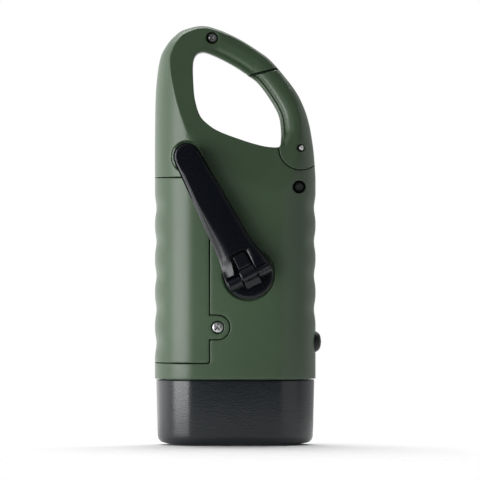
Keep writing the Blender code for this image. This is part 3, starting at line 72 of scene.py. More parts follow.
# Outline of the loop: shares of half width, loop height, side rounding and half depth
loop_shares = np.array([
    (-1.0, 0.0, 1.0, 1.0), (-1.0, 0.25, 1.0, 1.0), (-0.988, 0.566, 1.0, 1.0),
    (-0.938, 0.776, 0.92, 1.0), (-0.850, 0.875, 0.82, 0.95), (-0.751, 0.934, 0.72, 0.9),
    (-0.639, 0.974, 0.62, 0.82), (-0.414, 1.0, 0.55, 0.75), (-0.2025, 0.974, 0.5, 0.7),
    (0.0467, 0.914, 0.5, 0.68), (0.2835, 0.836, 0.52, 0.68), (0.433, 0.776, 0.55, 0.7),
    (0.6075, 0.671, 0.6, 0.74), (0.757, 0.566, 0.68, 0.8), (0.8567, 0.4605, 0.78, 0.86),
    (0.919, 0.355, 0.86, 0.92), (0.956, 0.25, 0.94, 0.96), (0.981, 0.145, 1.0, 1.0),
    (1.0, 0.0, 1.0, 1.0),
])
hole_shares = np.array([
    (-0.5265, 0.75), (-0.5227, 0.618), (-0.5016, 0.513), (-0.439, 0.408), (-0.3458, 0.352),
    (-0.2025, 0.3026), (0.0592, 0.25), (0.2835, 0.2138), (0.433, 0.1993), (0.545, 0.2035),
    (0.570, 0.2566), (0.565, 0.342), (0.5327, 0.421), (0.433, 0.5164), (0.2835, 0.6217),
    (0.1464, 0.6776), (0.0093, 0.727), (-0.1651, 0.7776), (-0.3271, 0.8158), (-0.4143, 0.825),
    (-0.489, 0.807),
])


# Nodes
def fill(tree, node, inputs):
    """Set each input of a node, or link it where the value is a socket."""
    for title, value in inputs.items():
        if isinstance(value, bpy.types.NodeSocket):
            tree.links.new(value, node.inputs[title])
        else:
            node.inputs[title].default_value = value
    return node


def new_node(tree, kind, inputs=None, **settings):
    node = tree.nodes.new(kind)
    for title, value in settings.items():
        setattr(node, title, value)
    return fill(tree, node, inputs or {})


def grain(tree, scale, detail=2.0, stretch=(1.0, 1.0, 1.0)):
    """Noise on the piece's own coordinates, stretched where the surface is drawn or brushed."""
    place = new_node(tree, "ShaderNodeTexCoord").outputs["Object"]
    stretched = new_node(tree, "ShaderNodeMapping", {"Vector": place, "Scale": stretch}).outputs["Vector"]
    noise = new_node(tree, "ShaderNodeTexNoise", {"Vector": stretched, "Scale": scale, "Detail": detail})
    return noise.outputs["Fac"]


def spread(tree, value, low, high, start=0.3, end=0.7):
    return new_node(tree, "ShaderNodeMapRange", {
        "Value": value, "From Min": start, "From Max": end, "To Min": low, "To Max": high}).outputs["Result"]


def two_tones(tree, value, first, second):
    return new_node(tree, "ShaderNodeMix", {"A": (*first, 1.0), "B": (*second, 1.0), "Factor": value},
                    data_type="RGBA").outputs["Result"]


def bumped(tree, value, depth):
    bump = new_node(tree, "ShaderNodeBump", {"Height": value, "Distance": depth, "Strength": 1.0})
    return bump.outputs["Normal"]


def tone(colour, share):
    return tuple(min(1.0, part * share) for part in colour)


# Finishes
def new_finish(name):
    material = bpy.data.materials.new(name)
    material.use_nodes = True
    tree = material.node_tree
    return material, tree, tree.nodes["Principled BSDF"]


def moulded(name, colour, roughness, scale, depth, drift, metal=0.0, stretch=(1.0, 1.0, 1.0), coat=0.0,
            specular=0.5):
    """A moulded, drawn or plated surface: slow drift of shade, fine grain in gloss and height."""
    drift_scale, gloss_change = 70.0, 0.05
    material, tree, shader = new_finish(name)
    slow = grain(tree, drift_scale, 3.0)
    fine = grain(tree, scale, 2.0, stretch)
    fill(tree, shader, {
        "Base Color": two_tones(tree, spread(tree, slow, 0.0, 1.0), tone(colour, 1 - drift),
                                tone(colour, 1 + drift)),
        "Roughness": spread(tree, fine, roughness - gloss_change, roughness + gloss_change),
        "Normal": bumped(tree, fine, depth), "Metallic": metal, "Coat Weight": coat,
        "Specular IOR Level": specular})
    return material


def clear(name, colour, roughness, index, tint=0.02):
    """Clear moulded plastic or resin, with a faint haze and a slight waviness."""
    wave_scale, wave_depth = 120.0, 0.00001
    material, tree, shader = new_finish(name)
    slow = grain(tree, wave_scale)
    fill(tree, shader, {
        "Base Color": two_tones(tree, slow, tone(colour, 1 - tint), colour),
        "Roughness": spread(tree, slow, roughness, roughness * 2),
        "Normal": bumped(tree, slow, wave_depth), "Transmission Weight": 1.0, "IOR": index})
    return material


def circuit(name, mask, copper):
    """A printed board: solder mask with tracks showing through it."""
    track_scale, track_depth, mask_roughness, copper_roughness = 420.0, 0.00003, 0.32, 0.24
    material, tree, shader = new_finish(name)
    place = new_node(tree, "ShaderNodeTexCoord").outputs["Object"]
    tracks = new_node(tree, "ShaderNodeTexVoronoi", {"Vector": place, "Scale": track_scale},
                      distance="CHEBYCHEV", feature="F2")
    lines = spread(tree, tracks.outputs["Distance"], 0.0, 1.0, 0.44, 0.5)
    fill(tree, shader, {
        "Base Color": two_tones(tree, lines, mask, copper),
        "Roughness": spread(tree, lines, mask_roughness, copper_roughness, 0.0, 1.0),
        "Normal": bumped(tree, lines, track_depth)})
    return material


# Moulded: colour, roughness, the grain's scale and depth, the drift of shade
brushed, stacked = (1.0, 1.0, 12.0), (1.0, 14.0, 1.0)
finishes = {
    "green_plastic": moulded("satin_green_plastic", (0.052, 0.089, 0.048), 0.37, 2200.0, 0.00001, 0.04),
    "black_plastic": moulded("grained_black_plastic", (0.007, 0.0105, 0.014), 0.21, 2300.0, 0.00003, 0.1,
                             specular=0.6),
    "crank_plastic": moulded("smooth_black_plastic", (0.0016, 0.0027, 0.0054), 0.24, 2400.0, 0.000003, 0.1,
                             specular=0.44),
    "button_rubber": moulded("matt_black_rubber", (0.006, 0.0063, 0.0075), 0.42, 1800.0, 0.00002, 0.1,
                             specular=0.3),
    "bright_steel": moulded("plated_steel", (0.62, 0.62, 0.63), 0.28, 1600.0, 0.000006, 0.08, 1.0, brushed),
    "dark_steel": moulded("blackened_steel", (0.09, 0.09, 0.095), 0.4, 1600.0, 0.000008, 0.1, 0.8, brushed),
    "clear_plastic": clear("clear_plastic_window", (0.93, 0.96, 0.97), 0.03, 1.49),
    "led_clear": clear("clear_epoxy", (0.98, 0.95, 0.72), 0.06, 1.54, 0.06),
    "mirror_chrome": moulded("metallised_plastic", (0.86, 0.86, 0.87), 0.09, 900.0, 0.000003, 0.02, 1.0),
    "solar_blue": moulded("dark_silicon", (0.008, 0.011, 0.034), 0.22, 1200.0, 0.000005, 0.25, coat=0.6),
    "gear_nylon": moulded("natural_nylon", (0.72, 0.70, 0.64), 0.45, 1800.0, 0.00001, 0.03),
    "coil_copper": moulded("enamelled_copper", (0.55, 0.2, 0.08), 0.28, 2600.0, 0.000006, 0.12, 0.9,
                           coat=0.5),
    "core_iron": moulded("stacked_core_steel", (0.22, 0.22, 0.24), 0.42, 900.0, 0.00003, 0.1, 0.9, stacked),
    "magnet_grey": moulded("sintered_ferrite", (0.06, 0.06, 0.065), 0.5, 3200.0, 0.00002, 0.12),
    "board_green": circuit("solder_mask_board", (0.012, 0.1, 0.04), (0.04, 0.2, 0.08)),
    "cell_wrap": moulded("plain_cell_wrap", (0.09, 0.15, 0.3), 0.3, 500.0, 0.00002, 0.06, coat=0.4),
    "contact_nickel": moulded("nickel_spring_steel", (0.64, 0.62, 0.57), 0.28, 1500.0, 0.000008, 0.08, 1.0,
                              brushed),
    "bush_brass": moulded("turned_brass", (0.66, 0.46, 0.18), 0.3, 1500.0, 0.00001, 0.08, 1.0, brushed),
    "lead_red": moulded("lead_covering", (0.42, 0.025, 0.018), 0.4, 1400.0, 0.000015, 0.08),
}
floor_finish = moulded("pale_floor", (0.94, 0.94, 0.94), 0.7, 300.0, 0.00001, 0.01, specular=0.2)
# Plated steel for the case screws, its colour darkened as painted shade for the deep recesses they sit in
shade_darkened_steel = moulded("plated_steel_darkened_as_shade", (0.3, 0.3, 0.31), 0.4, 1600.0, 0.000008, 0.1, 1.0, brushed)
satin_steel = moulded("satin_pin_steel", (0.8, 0.8, 0.81), 0.5, 1600.0, 0.000008, 0.1, 1.0, brushed)
silver_print = moulded("printed_silver", (0.5, 0.51, 0.52), 0.38, 3000.0, 0.000005, 0.08, 0.7)
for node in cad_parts.values():
    for holder in node.material_slots:
        key = holder.material.name.split(".")[0]
        if key in finishes:
            holder.material = finishes[key]


# Lines and distances
def smooth_line(points, steps, closed=False):
    """Points along a Catmull-Rom curve through the given points."""
    count = len(points)
    result = []
    for i in range(count if closed else count - 1):
        index = [(i + k) % count if closed else min(max(i + k, 0), count - 1) for k in (-1, 0, 1, 2)]
        before, here, there, after = (points[k] for k in index)
        for j in range(steps):
            t = j / steps
            value = 2 * here + (there - before) * t + (2 * before - 5 * here + 4 * there - after) * t * t
            result.append((value + (3 * here - before - 3 * there + after) * t ** 3) / 2)
    if not closed:
        result.append(points[-1])
    return np.array(result)


def spaced(line, step, closed=False):
    """The same line with points at even distances on each straight run."""
    ends = np.roll(line, -1, 0) if closed else line[1:]
    result = []
    for start, end in zip(line, ends):
        count = max(1, int(round(np.linalg.norm(end - start) / step)))
        for k in range(count):
            result.append(start + (end - start) * k / count)
    if not closed:
        result.append(line[-1])
    return np.array(result)


def ring(x, z, radius, count=72, start=0.0, end=360.0):
    turns = np.radians(np.linspace(start, end, count, endpoint=end - start < 360.0))
    return np.column_stack([x + radius * np.cos(turns), z + radius * np.sin(turns)])


def nearest(points, line, closed=False):
    """Distance from each point to a line, the run it falls on and the share along that run."""
    batch = 4000
    start = line if closed else line[:-1]
    run = (np.roll(line, -1, 0) if closed else line[1:]) - start
    square = (run ** 2).sum(1) + 1e-12
    distance, index, share = (np.empty(len(points)) for _ in range(3))
    for low in range(0, len(points), batch):
        away = points[low:low + batch, None, :] - start[None]
        t = np.clip((away * run).sum(2) / square, 0.0, 1.0)
        left = ((away - t[..., None] * run) ** 2).sum(2)
        best = left.argmin(1)
        rows = np.arange(len(best))
        distance[low:low + batch] = np.sqrt(left[rows, best])
        index[low:low + batch] = best
        share[low:low + batch] = t[rows, best]
    return distance, index.astype(int), share


def within(points, line):
    """Whether each point lies inside a closed line."""
    inside = np.zeros(len(points), bool)
    x, z = points[:, 0], points[:, 1]
    for (x0, z0), (x1, z1) in zip(line, np.roll(line, -1, 0)):
        if z0 == z1:
            continue
        crossing = (z0 > z) != (z1 > z)
        inside ^= crossing & (x < (x1 - x0) * (z - z0) / (z1 - z0) + x0)
    return inside


def beside(line, gaps, closed=False):
    """Points beside a line on both sides at each distance, with that distance as a third column."""
    run = np.roll(line, -1, 0) - np.roll(line, 1, 0) if closed else np.gradient(line, axis=0)
    side = np.column_stack([-run[:, 1], run[:, 0]])
    side /= np.linalg.norm(side, axis=1)[:, None] + 1e-9
    rows = []
    for away in gaps:
        for sign in (-1, 1):
            rows.append(np.column_stack([line + side * away * sign, np.full(len(line), away)]))
    return np.vstack(rows)


def ease(value, low, high):
    t = np.clip((value - low) / (high - low), 0.0, 1.0)
    return t * t * (3 - 2 * t)


def soft_least(a, b, blend):
    """The smaller of two heights, with a rounded ridge where they meet."""
    near = np.clip(1 - np.abs(a - b) / blend, 0.0, 1.0)
    return np.minimum(a, b) - near * near * blend / 4


def worn_edge(distance, rounding=edge_round):
    """How far a rounded edge falls at a distance in from its lip."""
    left = np.clip(rounding - distance, 0.0, rounding)
    return rounding - np.sqrt(rounding ** 2 - left ** 2)


draft, small_recess = 0.08, 4.0


def sunk(points, height, x, z, radius, floor):
    """The height with a round recess in it."""
    away = np.hypot(points[:, 0] - x, points[:, 1] - z)
    rounding = edge_round if radius < small_recess else edge_round * 2
    height = height - worn_edge(np.maximum(away - radius, 0.0), rounding) * (away >= radius)
    share = np.clip((radius - away) / draft, 0.0, 1.0)
    lowest = np.minimum(floor, height - 0.2)
    return height * (1 - share) + lowest * share


# Meshes
def flat_at(height):
    return lambda points: np.full(len(points), height)


def inside_of(line):
    return lambda points: within(points, line)


def relief(lines, beside_rows, pitch, keep, top, bottom, flip=False):
    """A closed form over a flat outline: its face, its back and the walls at its edges."""
    row_share, clear_share, least_turn = 0.866, 0.7, 1e-7
    flat, edges = [], []
    for line, closed in lines:
        start = len(flat)
        flat.extend(map(tuple, line))
        count = len(line)
        edges.extend((start + i, start + (i + 1) % count) for i in range(count if closed else count - 1))
    flat = np.array(flat)
    rows = np.vstack(beside_rows)
    rows = rows[keep(rows[:, :2])]
    to_lines = np.min([nearest(rows[:, :2], line, closed)[0] for line, closed in lines], axis=0)
    rows = rows[to_lines > rows[:, 2] * clear_share]
    tree = kdtree.KDTree(len(rows) + len(flat))
    for i, place in enumerate(np.vstack([rows[:, :2], flat])):
        tree.insert((place[0], place[1], 0.0), i)
    tree.balance()
    low, high = flat.min(0), flat.max(0)
    lattice = []
    for j in range(int((high[1] - low[1]) / (pitch * row_share)) + 1):
        for i in range(int((high[0] - low[0]) / pitch) + 1):
            lattice.append((low[0] + (i + 0.5 * (j % 2)) * pitch, low[1] + j * pitch * row_share))
    lattice = np.array(lattice)
    lattice = lattice[keep(lattice)]
    lattice = [p for p in lattice if tree.find((p[0], p[1], 0.0))[2] > pitch * 0.5]
    everything = np.vstack([flat, rows[:, :2]] + ([np.array(lattice)] if lattice else []))
    vertices, _, faces, *_ = delaunay_2d_cdt([Vector(p) for p in everything], edges, [], 0, 1e-4)
    flat = np.array([(v.x, v.y) for v in vertices])
    faces = np.array([f for f in faces if len(f) == 3])
    faces = faces[keep(flat[faces].mean(1))]
    a, b, c = (flat[faces[:, k]] for k in range(3))
    turn = (b[:, 0] - a[:, 0]) * (c[:, 1] - a[:, 1]) - (b[:, 1] - a[:, 1]) * (c[:, 0] - a[:, 0])
    faces = faces[np.abs(turn) > least_turn]
    turn = turn[np.abs(turn) > least_turn]
    faces[turn < 0] = faces[turn < 0][:, ::-1]
    used, index = np.unique(faces, return_inverse=True)
    faces = index.reshape(-1, 3)
    flat = flat[used]
    count = len(flat)
    sides = np.vstack([faces[:, [0, 1]], faces[:, [1, 2]], faces[:, [2, 0]]])
    _, first, times = np.unique(np.sort(sides, 1), axis=0, return_index=True, return_counts=True)
    rim = sides[first[times == 1]]
    points = np.vstack([np.column_stack([flat, top(flat)]), np.column_stack([flat, bottom(flat)])])
    shapes = [tuple(f) for f in faces.tolist()]
    shapes += [tuple(v + count for v in reversed(f)) for f in faces.tolist()]
    shapes += [(b, a, a + count, b + count) for a, b in rim.tolist()]
    if flip:
        shapes = [tuple(reversed(f)) for f in shapes]
    return points, shapes


def soften(profile, radius, steps=3):
    """A profile with every corner between its ends rounded."""
    profile = [np.array(p, float) for p in profile]
    result = [profile[0]]
    for before, here, after in zip(profile, profile[1:], profile[2:]):
        back, ahead = before - here, after - here
        reach = min(radius, np.linalg.norm(back) / 2.05, np.linalg.norm(ahead) / 2.05)
        start = here + back / np.linalg.norm(back) * reach
        end = here + ahead / np.linalg.norm(ahead) * reach
        for k in range(steps + 1):
            t = k / steps
            result.append(start * (1 - t) ** 2 + here * 2 * t * (1 - t) + end * t * t)
    result.append(profile[-1])
    return result


def whole_face(corners):
    """A face without its repeated corners, or None where fewer than three are left."""
    face = tuple(v for i, v in enumerate(corners) if v not in corners[:i])
    return face if len(face) > 2 else None


def turned(profile, sides=64, hollow=False):
    """A round form from (radius, height) pairs that run out from the top of the axis and down."""
    points, rows, faces = [], [], []
    for radius, height in profile:
        if radius < 1e-6:
            rows.append([len(points)] * sides)
            points.append((0.0, 0.0, height))
            continue
        rows.append(list(range(len(points), len(points) + sides)))
        for k in range(sides):
            turn = 2 * math.pi * k / sides
            points.append((radius * math.cos(turn), radius * math.sin(turn), height))
    pairs = list(zip(rows, rows[1:]))
    if hollow:
        pairs.append((rows[-1], rows[0]))
    for upper, lower in pairs:
        for k in range(sides):
            after = (k + 1) % sides
            faces.append(whole_face([upper[k], lower[k], lower[after], upper[after]]))
    return np.array(points), [face for face in faces if face]


def lofted(sections):
    """A ring-shaped form through closed sections, the last one joined to the first."""
    count = len(sections[0])
    faces = []
    for j in range(len(sections)):
        low, high = j * count, (j + 1) % len(sections) * count
        for k in range(count):
            after = (k + 1) % count
            faces.append((low + k, low + after, high + after, high + k))
    return np.vstack(sections), faces


# Places and pieces
def placed(form, place):
    points, faces = form
    return place(np.asarray(points, float)), faces


def facing_front(x=0.0, z=0.0, out=0.0):
    return lambda p: np.column_stack([x + p[:, 0], -(out + p[:, 2]), z + p[:, 1]])


def facing_back(p):
    return np.column_stack([p[:, 0], p[:, 2], p[:, 1]])


def facing_side(x, z):
    return lambda p: np.column_stack([x + p[:, 2], p[:, 0], z + p[:, 1]])


def upright(p):
    return p


def about_crank(along=0.0, out=0.0):
    """Across, along and out from the crank's axis, to the case's own frame."""
    def place(p):
        across, run = p[:, 0], p[:, 1] + along
        return np.column_stack([
            hub_x + across * math.cos(lean) - run * math.sin(lean), -(out + p[:, 2]),
            hub_z + across * math.sin(lean) + run * math.cos(lean)])
    return place


def along_hinge(p):
    """A form turned about its own height, laid along the crank's hinge."""
    return about_crank()(np.column_stack([p[:, 2], p[:, 0], hinge_height + p[:, 1]]))


def add_piece(name, forms, slot, body, nodes=(), crease=32.0, finish=None):
    """One named piece from one or more closed forms, riding on a body of the frame."""
    points, faces = [], []
    for form_points, form_faces in forms:
        start = sum(len(p) for p in points)
        points.append(form_points)
        faces.extend(tuple(v + start for v in face) for face in form_faces)
    mesh = bpy.data.meshes.new(name)
    mesh.from_pydata(((np.vstack(points) + datum) / per_metre).tolist(), [], faces)
    mesh.materials.append(finish or finishes[slot])
    mesh.shade_smooth()
    mesh.set_sharp_from_angle(angle=math.radians(crease))
    add_item(name, mesh, body, nodes)


def new_object(name, data):
    item = bpy.data.objects.new(name, data)
    bpy.context.scene.collection.objects.link(item)
    return item


def add_item(name, mesh, body, nodes=()):
    item = new_object(name, mesh)
    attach(item, body)
    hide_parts(*nodes)


# Outline of the case
ripple_pitch, ripple_depth, line_step = 10.9, 0.5, 0.6


def ripple(z, first, count):
    """The finger ripples on a side: how far each height is drawn in."""
    last = first + ripple_pitch * (count - 1)
    reach = ripple_pitch / 2
    wave = (1 + np.cos(2 * math.pi * (z - first) / ripple_pitch)) / 2
    return np.where((z < first - reach) | (z > last + reach), 0.0, ripple_depth * wave ** 1.5)


control = loop_shares * [half_width, loop_height, side_round, half_depth] + [0.0, loop_base, 0.0, 0.0]
over_loop = smooth_line(control, 12)
side_z = np.arange(12.0, loop_base - 0.2, line_step)
left_x = ripple(side_z, 32.7, 5) - half_width
right_x = half_width - ripple(side_z, 43.6, 4)
steady = np.tile([side_round, half_depth], (len(side_z), 1))
outline_rows = np.vstack([
    np.column_stack([left_x, side_z, steady]), over_loop[:-1],
    np.column_stack([right_x, side_z, steady])[::-1]])
outline = outline_rows[:, :2]
hole = smooth_line(hole_shares * [half_width, loop_height] + [0.0, loop_base], 6, closed=True)
seam_inner = np.array([0.2432 * half_width, loop_base + 0.6755 * loop_height])
seam_outer = np.array([0.5405 * half_width, loop_base + 0.7163 * loop_height])


def gate_line(grow):
    """Outline round the gate, grown outwards by a clearance, with a wider gap at the latch."""
    latch_growth, latch_offset, foot_start, foot_end = 2.3, 0.18, -52.0, -205.0
    seam = (seam_outer - seam_inner) / np.linalg.norm(seam_outer - seam_inner)
    lift = np.array([-seam[1], seam[0]]) * (latch_growth * grow - latch_offset)
    inner, outer = seam_inner + lift - seam * foot_radius / 2, seam_outer + lift + seam * foot_radius * 2
    far = half_width + foot_radius
    corners = np.array([inner, outer, (far, outer[1]), (far, pivot_z - foot_radius)])
    foot = ring(pivot_x, pivot_z, foot_radius + grow, 46, foot_start, foot_end)
    inside_hole = (pivot_x - 12.8, pivot_z + foot_radius)
    return spaced(np.vstack([corners, foot, [inside_hole]]), line_step, closed=True)


def cover_line(grow):
    """Outline of the battery cover with its round tab, grown by a clearance."""
    edge, low, high, far = cover_x + grow, cover_low - grow, cover_high + grow, -half_width - 2.0
    tab = ring(cover_screw[0], cover_screw[1], tab_radius + grow, 28, -90.0, 90.0)
    cut = 0.23
    corners = [(far, low), (edge - cover_corner, low), (edge - cut, low + cut), (edge, low + cover_corner),
               (edge, tab[0, 1]), tab, (edge, tab[-1, 1]), (edge, high - cover_corner),
               (edge - cut, high - cut), (edge - cover_corner, high), (far, high)]
    return spaced(np.vstack(corners), line_step, closed=True)


def plane_of_loop(points):
    """The tilted flat that runs from the case's face up through the loop."""
    level, slope_right, slope_up = 38.31, 0.153, 0.2565
    return level - slope_right * points[:, 0] - slope_up * points[:, 1]


def side_height(points, rows, inner):
    """Height of the crowned face where it rounds off towards the side."""
    return (rows[:, 3] - crown * (points[:, 0] / half_width) ** 2) * np.sqrt(1 - inner ** 2)


def case_form(points):
    """Height of the case's outer form, and how far each point is from its silhouette.

    Away from the edge, the ripples fade out of that distance.
    """
    lip, settled = 0.25, 4.2
    rim, index, share = nearest(points, outline)
    ripple_free = half_width - np.abs(points[:, 0])
    rim = np.where((points[:, 1] < loop_base) & (rim > lip),
                   rim + (ripple_free - rim) * ease(rim, lip, settled), rim)
    after = np.minimum(index + 1, len(outline_rows) - 1)
    rows = outline_rows[index] * (1 - share)[:, None] + outline_rows[after] * share[:, None]
    inner = 1 - np.clip(rim / rows[:, 2], 0.0, 1.0)
    blend = 0.55 - 0.3 * ease(inner, 0.08, 0.3)
    flat = plane_of_loop(points) + bar_form(points, rim)
    return soft_least(side_height(points, rows, inner), flat, blend), rim


def ridge_of_loop():
    """The line round the loop where the side's curve meets the tilted flat."""
    rows = outline_rows[(outline_rows[:, 1] > loop_base + 6.0)]
    run = np.gradient(rows[:, :2], axis=0)
    inward = np.column_stack([run[:, 1], -run[:, 0]]) / np.linalg.norm(run, axis=1)[:, None]
    low, high = np.full(len(rows), 0.3), rows[:, 2] * 0.98
    for _ in range(24):
        middle = (low + high) / 2
        points = rows[:, :2] + inward * middle[:, None]
        above = side_height(points, rows, 1 - middle / rows[:, 2]) > plane_of_loop(points)
        low, high = np.where(above, low, middle), np.where(above, middle, high)
    points = rows[:, :2] + inward * low[:, None]
    return points[(low < rows[:, 2] * 0.9) & ~within(points, hole) & (rows[:, 0] < 18.0)]


# Height that the nose and the gate add to the flat, at distances from the hole's edge
nose_steps = np.array([
    (0.0, -1.55), (0.25, -1.32), (0.5, -1.17), (0.9, -1.1), (1.35, -1.14), (1.5, -1.2), (1.8, -1.2),
    (2.1, -1.08), (2.4, -0.86), (2.7, -0.64), (3.0, -0.48), (3.4, -0.36), (3.8, -0.27),
    (4.2, -0.19), (4.6, -0.12), (5.6, 0.0)])
gate_steps = np.array([
    (0.0, -2.2), (0.25, -1.92), (0.5, -1.74), (0.9, -1.56), (1.0, -1.58), (1.15, -1.76), (1.35, -1.82),
    (1.5, -1.74), (1.8, -1.36), (2.1, -1.02), (2.4, -0.76), (2.7, -0.57), (3.0, -0.43), (3.4, -0.28),
    (3.8, -0.15), (4.2, -0.03), (4.6, 0.02), (5.2, 0.0)])


def bar_form(points, rim):
    """What the nose bar and the gate add to the tilted flat."""
    x, z = points[:, 0], points[:, 1]
    start_x, start_z, run_x, run_z = -13.0, 124.0, 28.0, -27.5
    length = math.hypot(run_x, run_z)
    run_x, run_z = run_x / length, run_z / length
    along = (x - start_x) * run_x + (z - start_z) * run_z
    out = (x - start_x) * -run_z + (z - start_z) * run_x
    edge = nearest(points, hole, True)[0]
    boss = np.hypot(x - pivot_x, z - pivot_z)
    place = ease(out, 0.2, 1.6) * ease(along, -1.5, 4.0) * ease(boss, 4.4, 6.8)
    on_gate = ease((x - seam_inner[0]) * 0.96 - (z - seam_inner[1]) * 0.28, -0.6, 0.2)
    nose = np.interp(edge, nose_steps[:, 0], nose_steps[:, 1])
    gate = np.interp(edge, gate_steps[:, 0], gate_steps[:, 1])
    groove = -0.16 * np.clip(3.0 - rim, 0.0, 2.0) ** 1.6
    return (groove + nose * (1 - on_gate) + gate * on_gate) * place


# Lines that the shells' meshes follow: recesses as x, z, radius and floor
front_recesses = [
    (hub_x, hub_z, 8.35, 14.9), (well_x, well_z, 5.0, 12.4),
    (*top_screw, 2.0, 3.8), (*side_screw, 2.1, 5.2),
]
bottom_line = spaced(np.array([(-half_width - 1.0, seam_height), (half_width + 1.0, seam_height)]), line_step)
notch_z = np.linspace(button_z - notch_radius, button_z + notch_radius, 33)
notch_level = np.sqrt(np.clip(notch_radius ** 2 - (notch_z - button_z) ** 2, 0.0, None))
notch_x = half_width - side_round * (1 - np.sqrt(1 - (notch_level / (half_depth - crown)) ** 2))
notch = np.column_stack([notch_x, notch_z])
notch_area = np.vstack([notch, [(half_width + 2.0, notch_z[-1]), (half_width + 2.0, notch_z[0])]])
round_angles = (6, 12, 18, 25, 32, 40, 48, 57, 66, 76, 88)
silhouette_steps = [side_round * (1 - math.cos(math.radians(a))) for a in round_angles]
silhouette_rows = [beside(outline, silhouette_steps[:3]), beside(outline[::2], silhouette_steps[3:]),
                   beside(outline, (2.2, 2.6, 2.9, 3.3))]
hole_rows = beside(hole, (0.04, 0.12, 0.25, 0.5, 0.9, 1.0, 1.15, 1.35, 1.5, 1.8, 2.1, 2.4, 2.7, 3.0, 3.4,
                          3.8, 4.2, 4.6), True)
edge_gaps = (0.03, 0.1, 0.18, edge_round)
wide_gaps = (0.05, 0.15, 0.3, 0.44, edge_round * 2)
ridge = ridge_of_loop()
ridge_rows = beside(ridge, (0.12, 0.3, 0.55))
gate_front, gate_back = gate_line(0.0), gate_line(0.4)
pocket_front, pocket_back = gate_line(gap), gate_line(0.4 + gap)
cover_edge, cover_opening = cover_line(0.0), cover_line(gap)
case_area = np.vstack([outline, [(half_width, 5.0), (-half_width, 5.0)]])


def shell_faces(hard_lines, recesses):
    """Functions for a green shell's face and back, and the lines that its mesh follows."""
    lip, lip_reach, hole_rounding, boss_radius, boss_slope = 0.15, 0.5, 0.2, 3.6, 1.4

    def lowest(rim):
        return lip * (1 - np.clip(rim / lip_reach, 0.0, 1.0))

    def top(points):
        height, rim = case_form(points)
        for x, z, radius, floor in recesses:
            height = sunk(points, height, x, z, radius, floor)
        for line, closed in hard_lines:
            height = height - worn_edge(nearest(points, line, closed)[0])
        height = height - worn_edge(nearest(points, hole, True)[0], hole_rounding)
        return np.maximum(height, lowest(rim) + thin)

    def bottom(points):
        height, rim = case_form(points)
        low = lowest(rim)
        share = ease(rim, 1.7, 2.6) * (1 - ease(points[:, 1], loop_base, loop_base + 1.0))
        from_screw = np.hypot(points[:, 0] - side_screw[0], points[:, 1] - side_screw[1])
        share = share * (1 - ease(from_screw, boss_radius + boss_slope, boss_radius))
        inside = low + (np.minimum(height - wall, inner_face) - low) * share
        return np.minimum(inside, top(points) - thin)

    lines = [(outline, False), (hole, True), (ridge, False)] + list(hard_lines)
    rows = [*silhouette_rows, hole_rows, ridge_rows]
    rows += [beside(line, edge_gaps, closed) for line, closed in hard_lines]
    for x, z, radius, _ in recesses:
        lines += [(ring(x, z, radius), True), (ring(x, z, radius - draft), True)]
        rows.append(beside(ring(x, z, radius), edge_gaps if radius < small_recess else wide_gaps, True))
    return lines, rows, top, bottom


def on_case(points):
    return within(points, case_area) & ~within(points, hole)


def shell_area(*openings):
    """Where a shell lies: on the case, above the lens end and outside its openings."""
    def keep(points):
        kept = on_case(points) & (points[:, 1] > seam_height)
        for line in (*openings, notch_area):
            kept &= ~within(points, line)
        return kept
    return keep


def oblong(half_x, half_y, rounding, height, sag=0.0):
    """One level section of the lens end: an oblong with rounded ends, crowned on both faces."""
    straight_half = 11.0
    turns = np.radians(np.linspace(0.0, 90.0, 19))
    quarter = np.column_stack([half_x - rounding * (1 - np.cos(turns)), half_y * np.sin(turns)])
    straight = np.column_stack([np.linspace(quarter[-1, 0], 0.0, 9)[1:], np.full(8, half_y)])
    first = np.vstack([quarter, straight])
    second = (first[:-1] * [-1, 1])[::-1]
    third = (first[1:] * [-1, -1])
    fourth = (first[1:-1] * [1, -1])[::-1]
    loop = np.vstack([first, second, third, fourth])
    drop = crown * (loop[:, 0] / half_width) ** 2 * np.abs(loop[:, 1]) / half_y
    over = np.maximum(0.0, np.abs(loop[:, 0]) - straight_half) / (half_width - straight_half)
    y = loop[:, 1] - np.sign(loop[:, 1]) * drop
    return np.column_stack([loop[:, 0], y, height + sag * over * over])


def half_spigot(face):
    """Half of the neck that the bezel holds, as a curved wall."""
    outer_draw, inner_draw, low, high = 3.1, 4.7, 13.8, 22.6

    def half_section(draw):
        line = oblong(half_width - draw, half_depth - draw, side_round - draw, 0.0)
        line = line[line[:, 1] * face > -1e-6][:, :2]
        return line[np.argsort(np.arctan2(line[:, 1] * face, line[:, 0]))]

    line = np.vstack([half_section(outer_draw), half_section(inner_draw)[::-1]])
    if face < 0:
        line = line[::-1]
    return relief([(line, True)], [np.zeros((0, 3))], 3.0, inside_of(line), flat_at(high), flat_at(low))


# Green mouldings
fine_pitch, coarse_pitch = 1.15, 1.4


def make_front_shell():
    hard = [(pocket_front, True), (cover_opening, True), (bottom_line, False), (notch, False)]
    lines, rows, top, bottom = shell_faces(hard, front_recesses)
    form = relief(lines, rows, fine_pitch, shell_area(pocket_front, cover_opening), top, bottom)
    forms = [placed(form, facing_front()), placed(half_spigot(-1), upright)]
    add_piece("front_shell_moulding", forms, "green_plastic", "case", ["front_shell"])


window_half, window_low, window_high, window_seat = 13.2, 29.0, 83.0, 12.65


def rounded_box(x, low, high, radius):
    """A closed line round an upright box with rounded corners."""
    corners = [ring(side, level, radius, 8, turn, turn + 90.0) for side, level, turn in (
        (x - radius, low + radius, -90.0), (x - radius, high - radius, 0.0),
        (radius - x, high - radius, 90.0), (radius - x, low + radius, 180.0))]
    return spaced(np.vstack(corners), 0.8, closed=True)


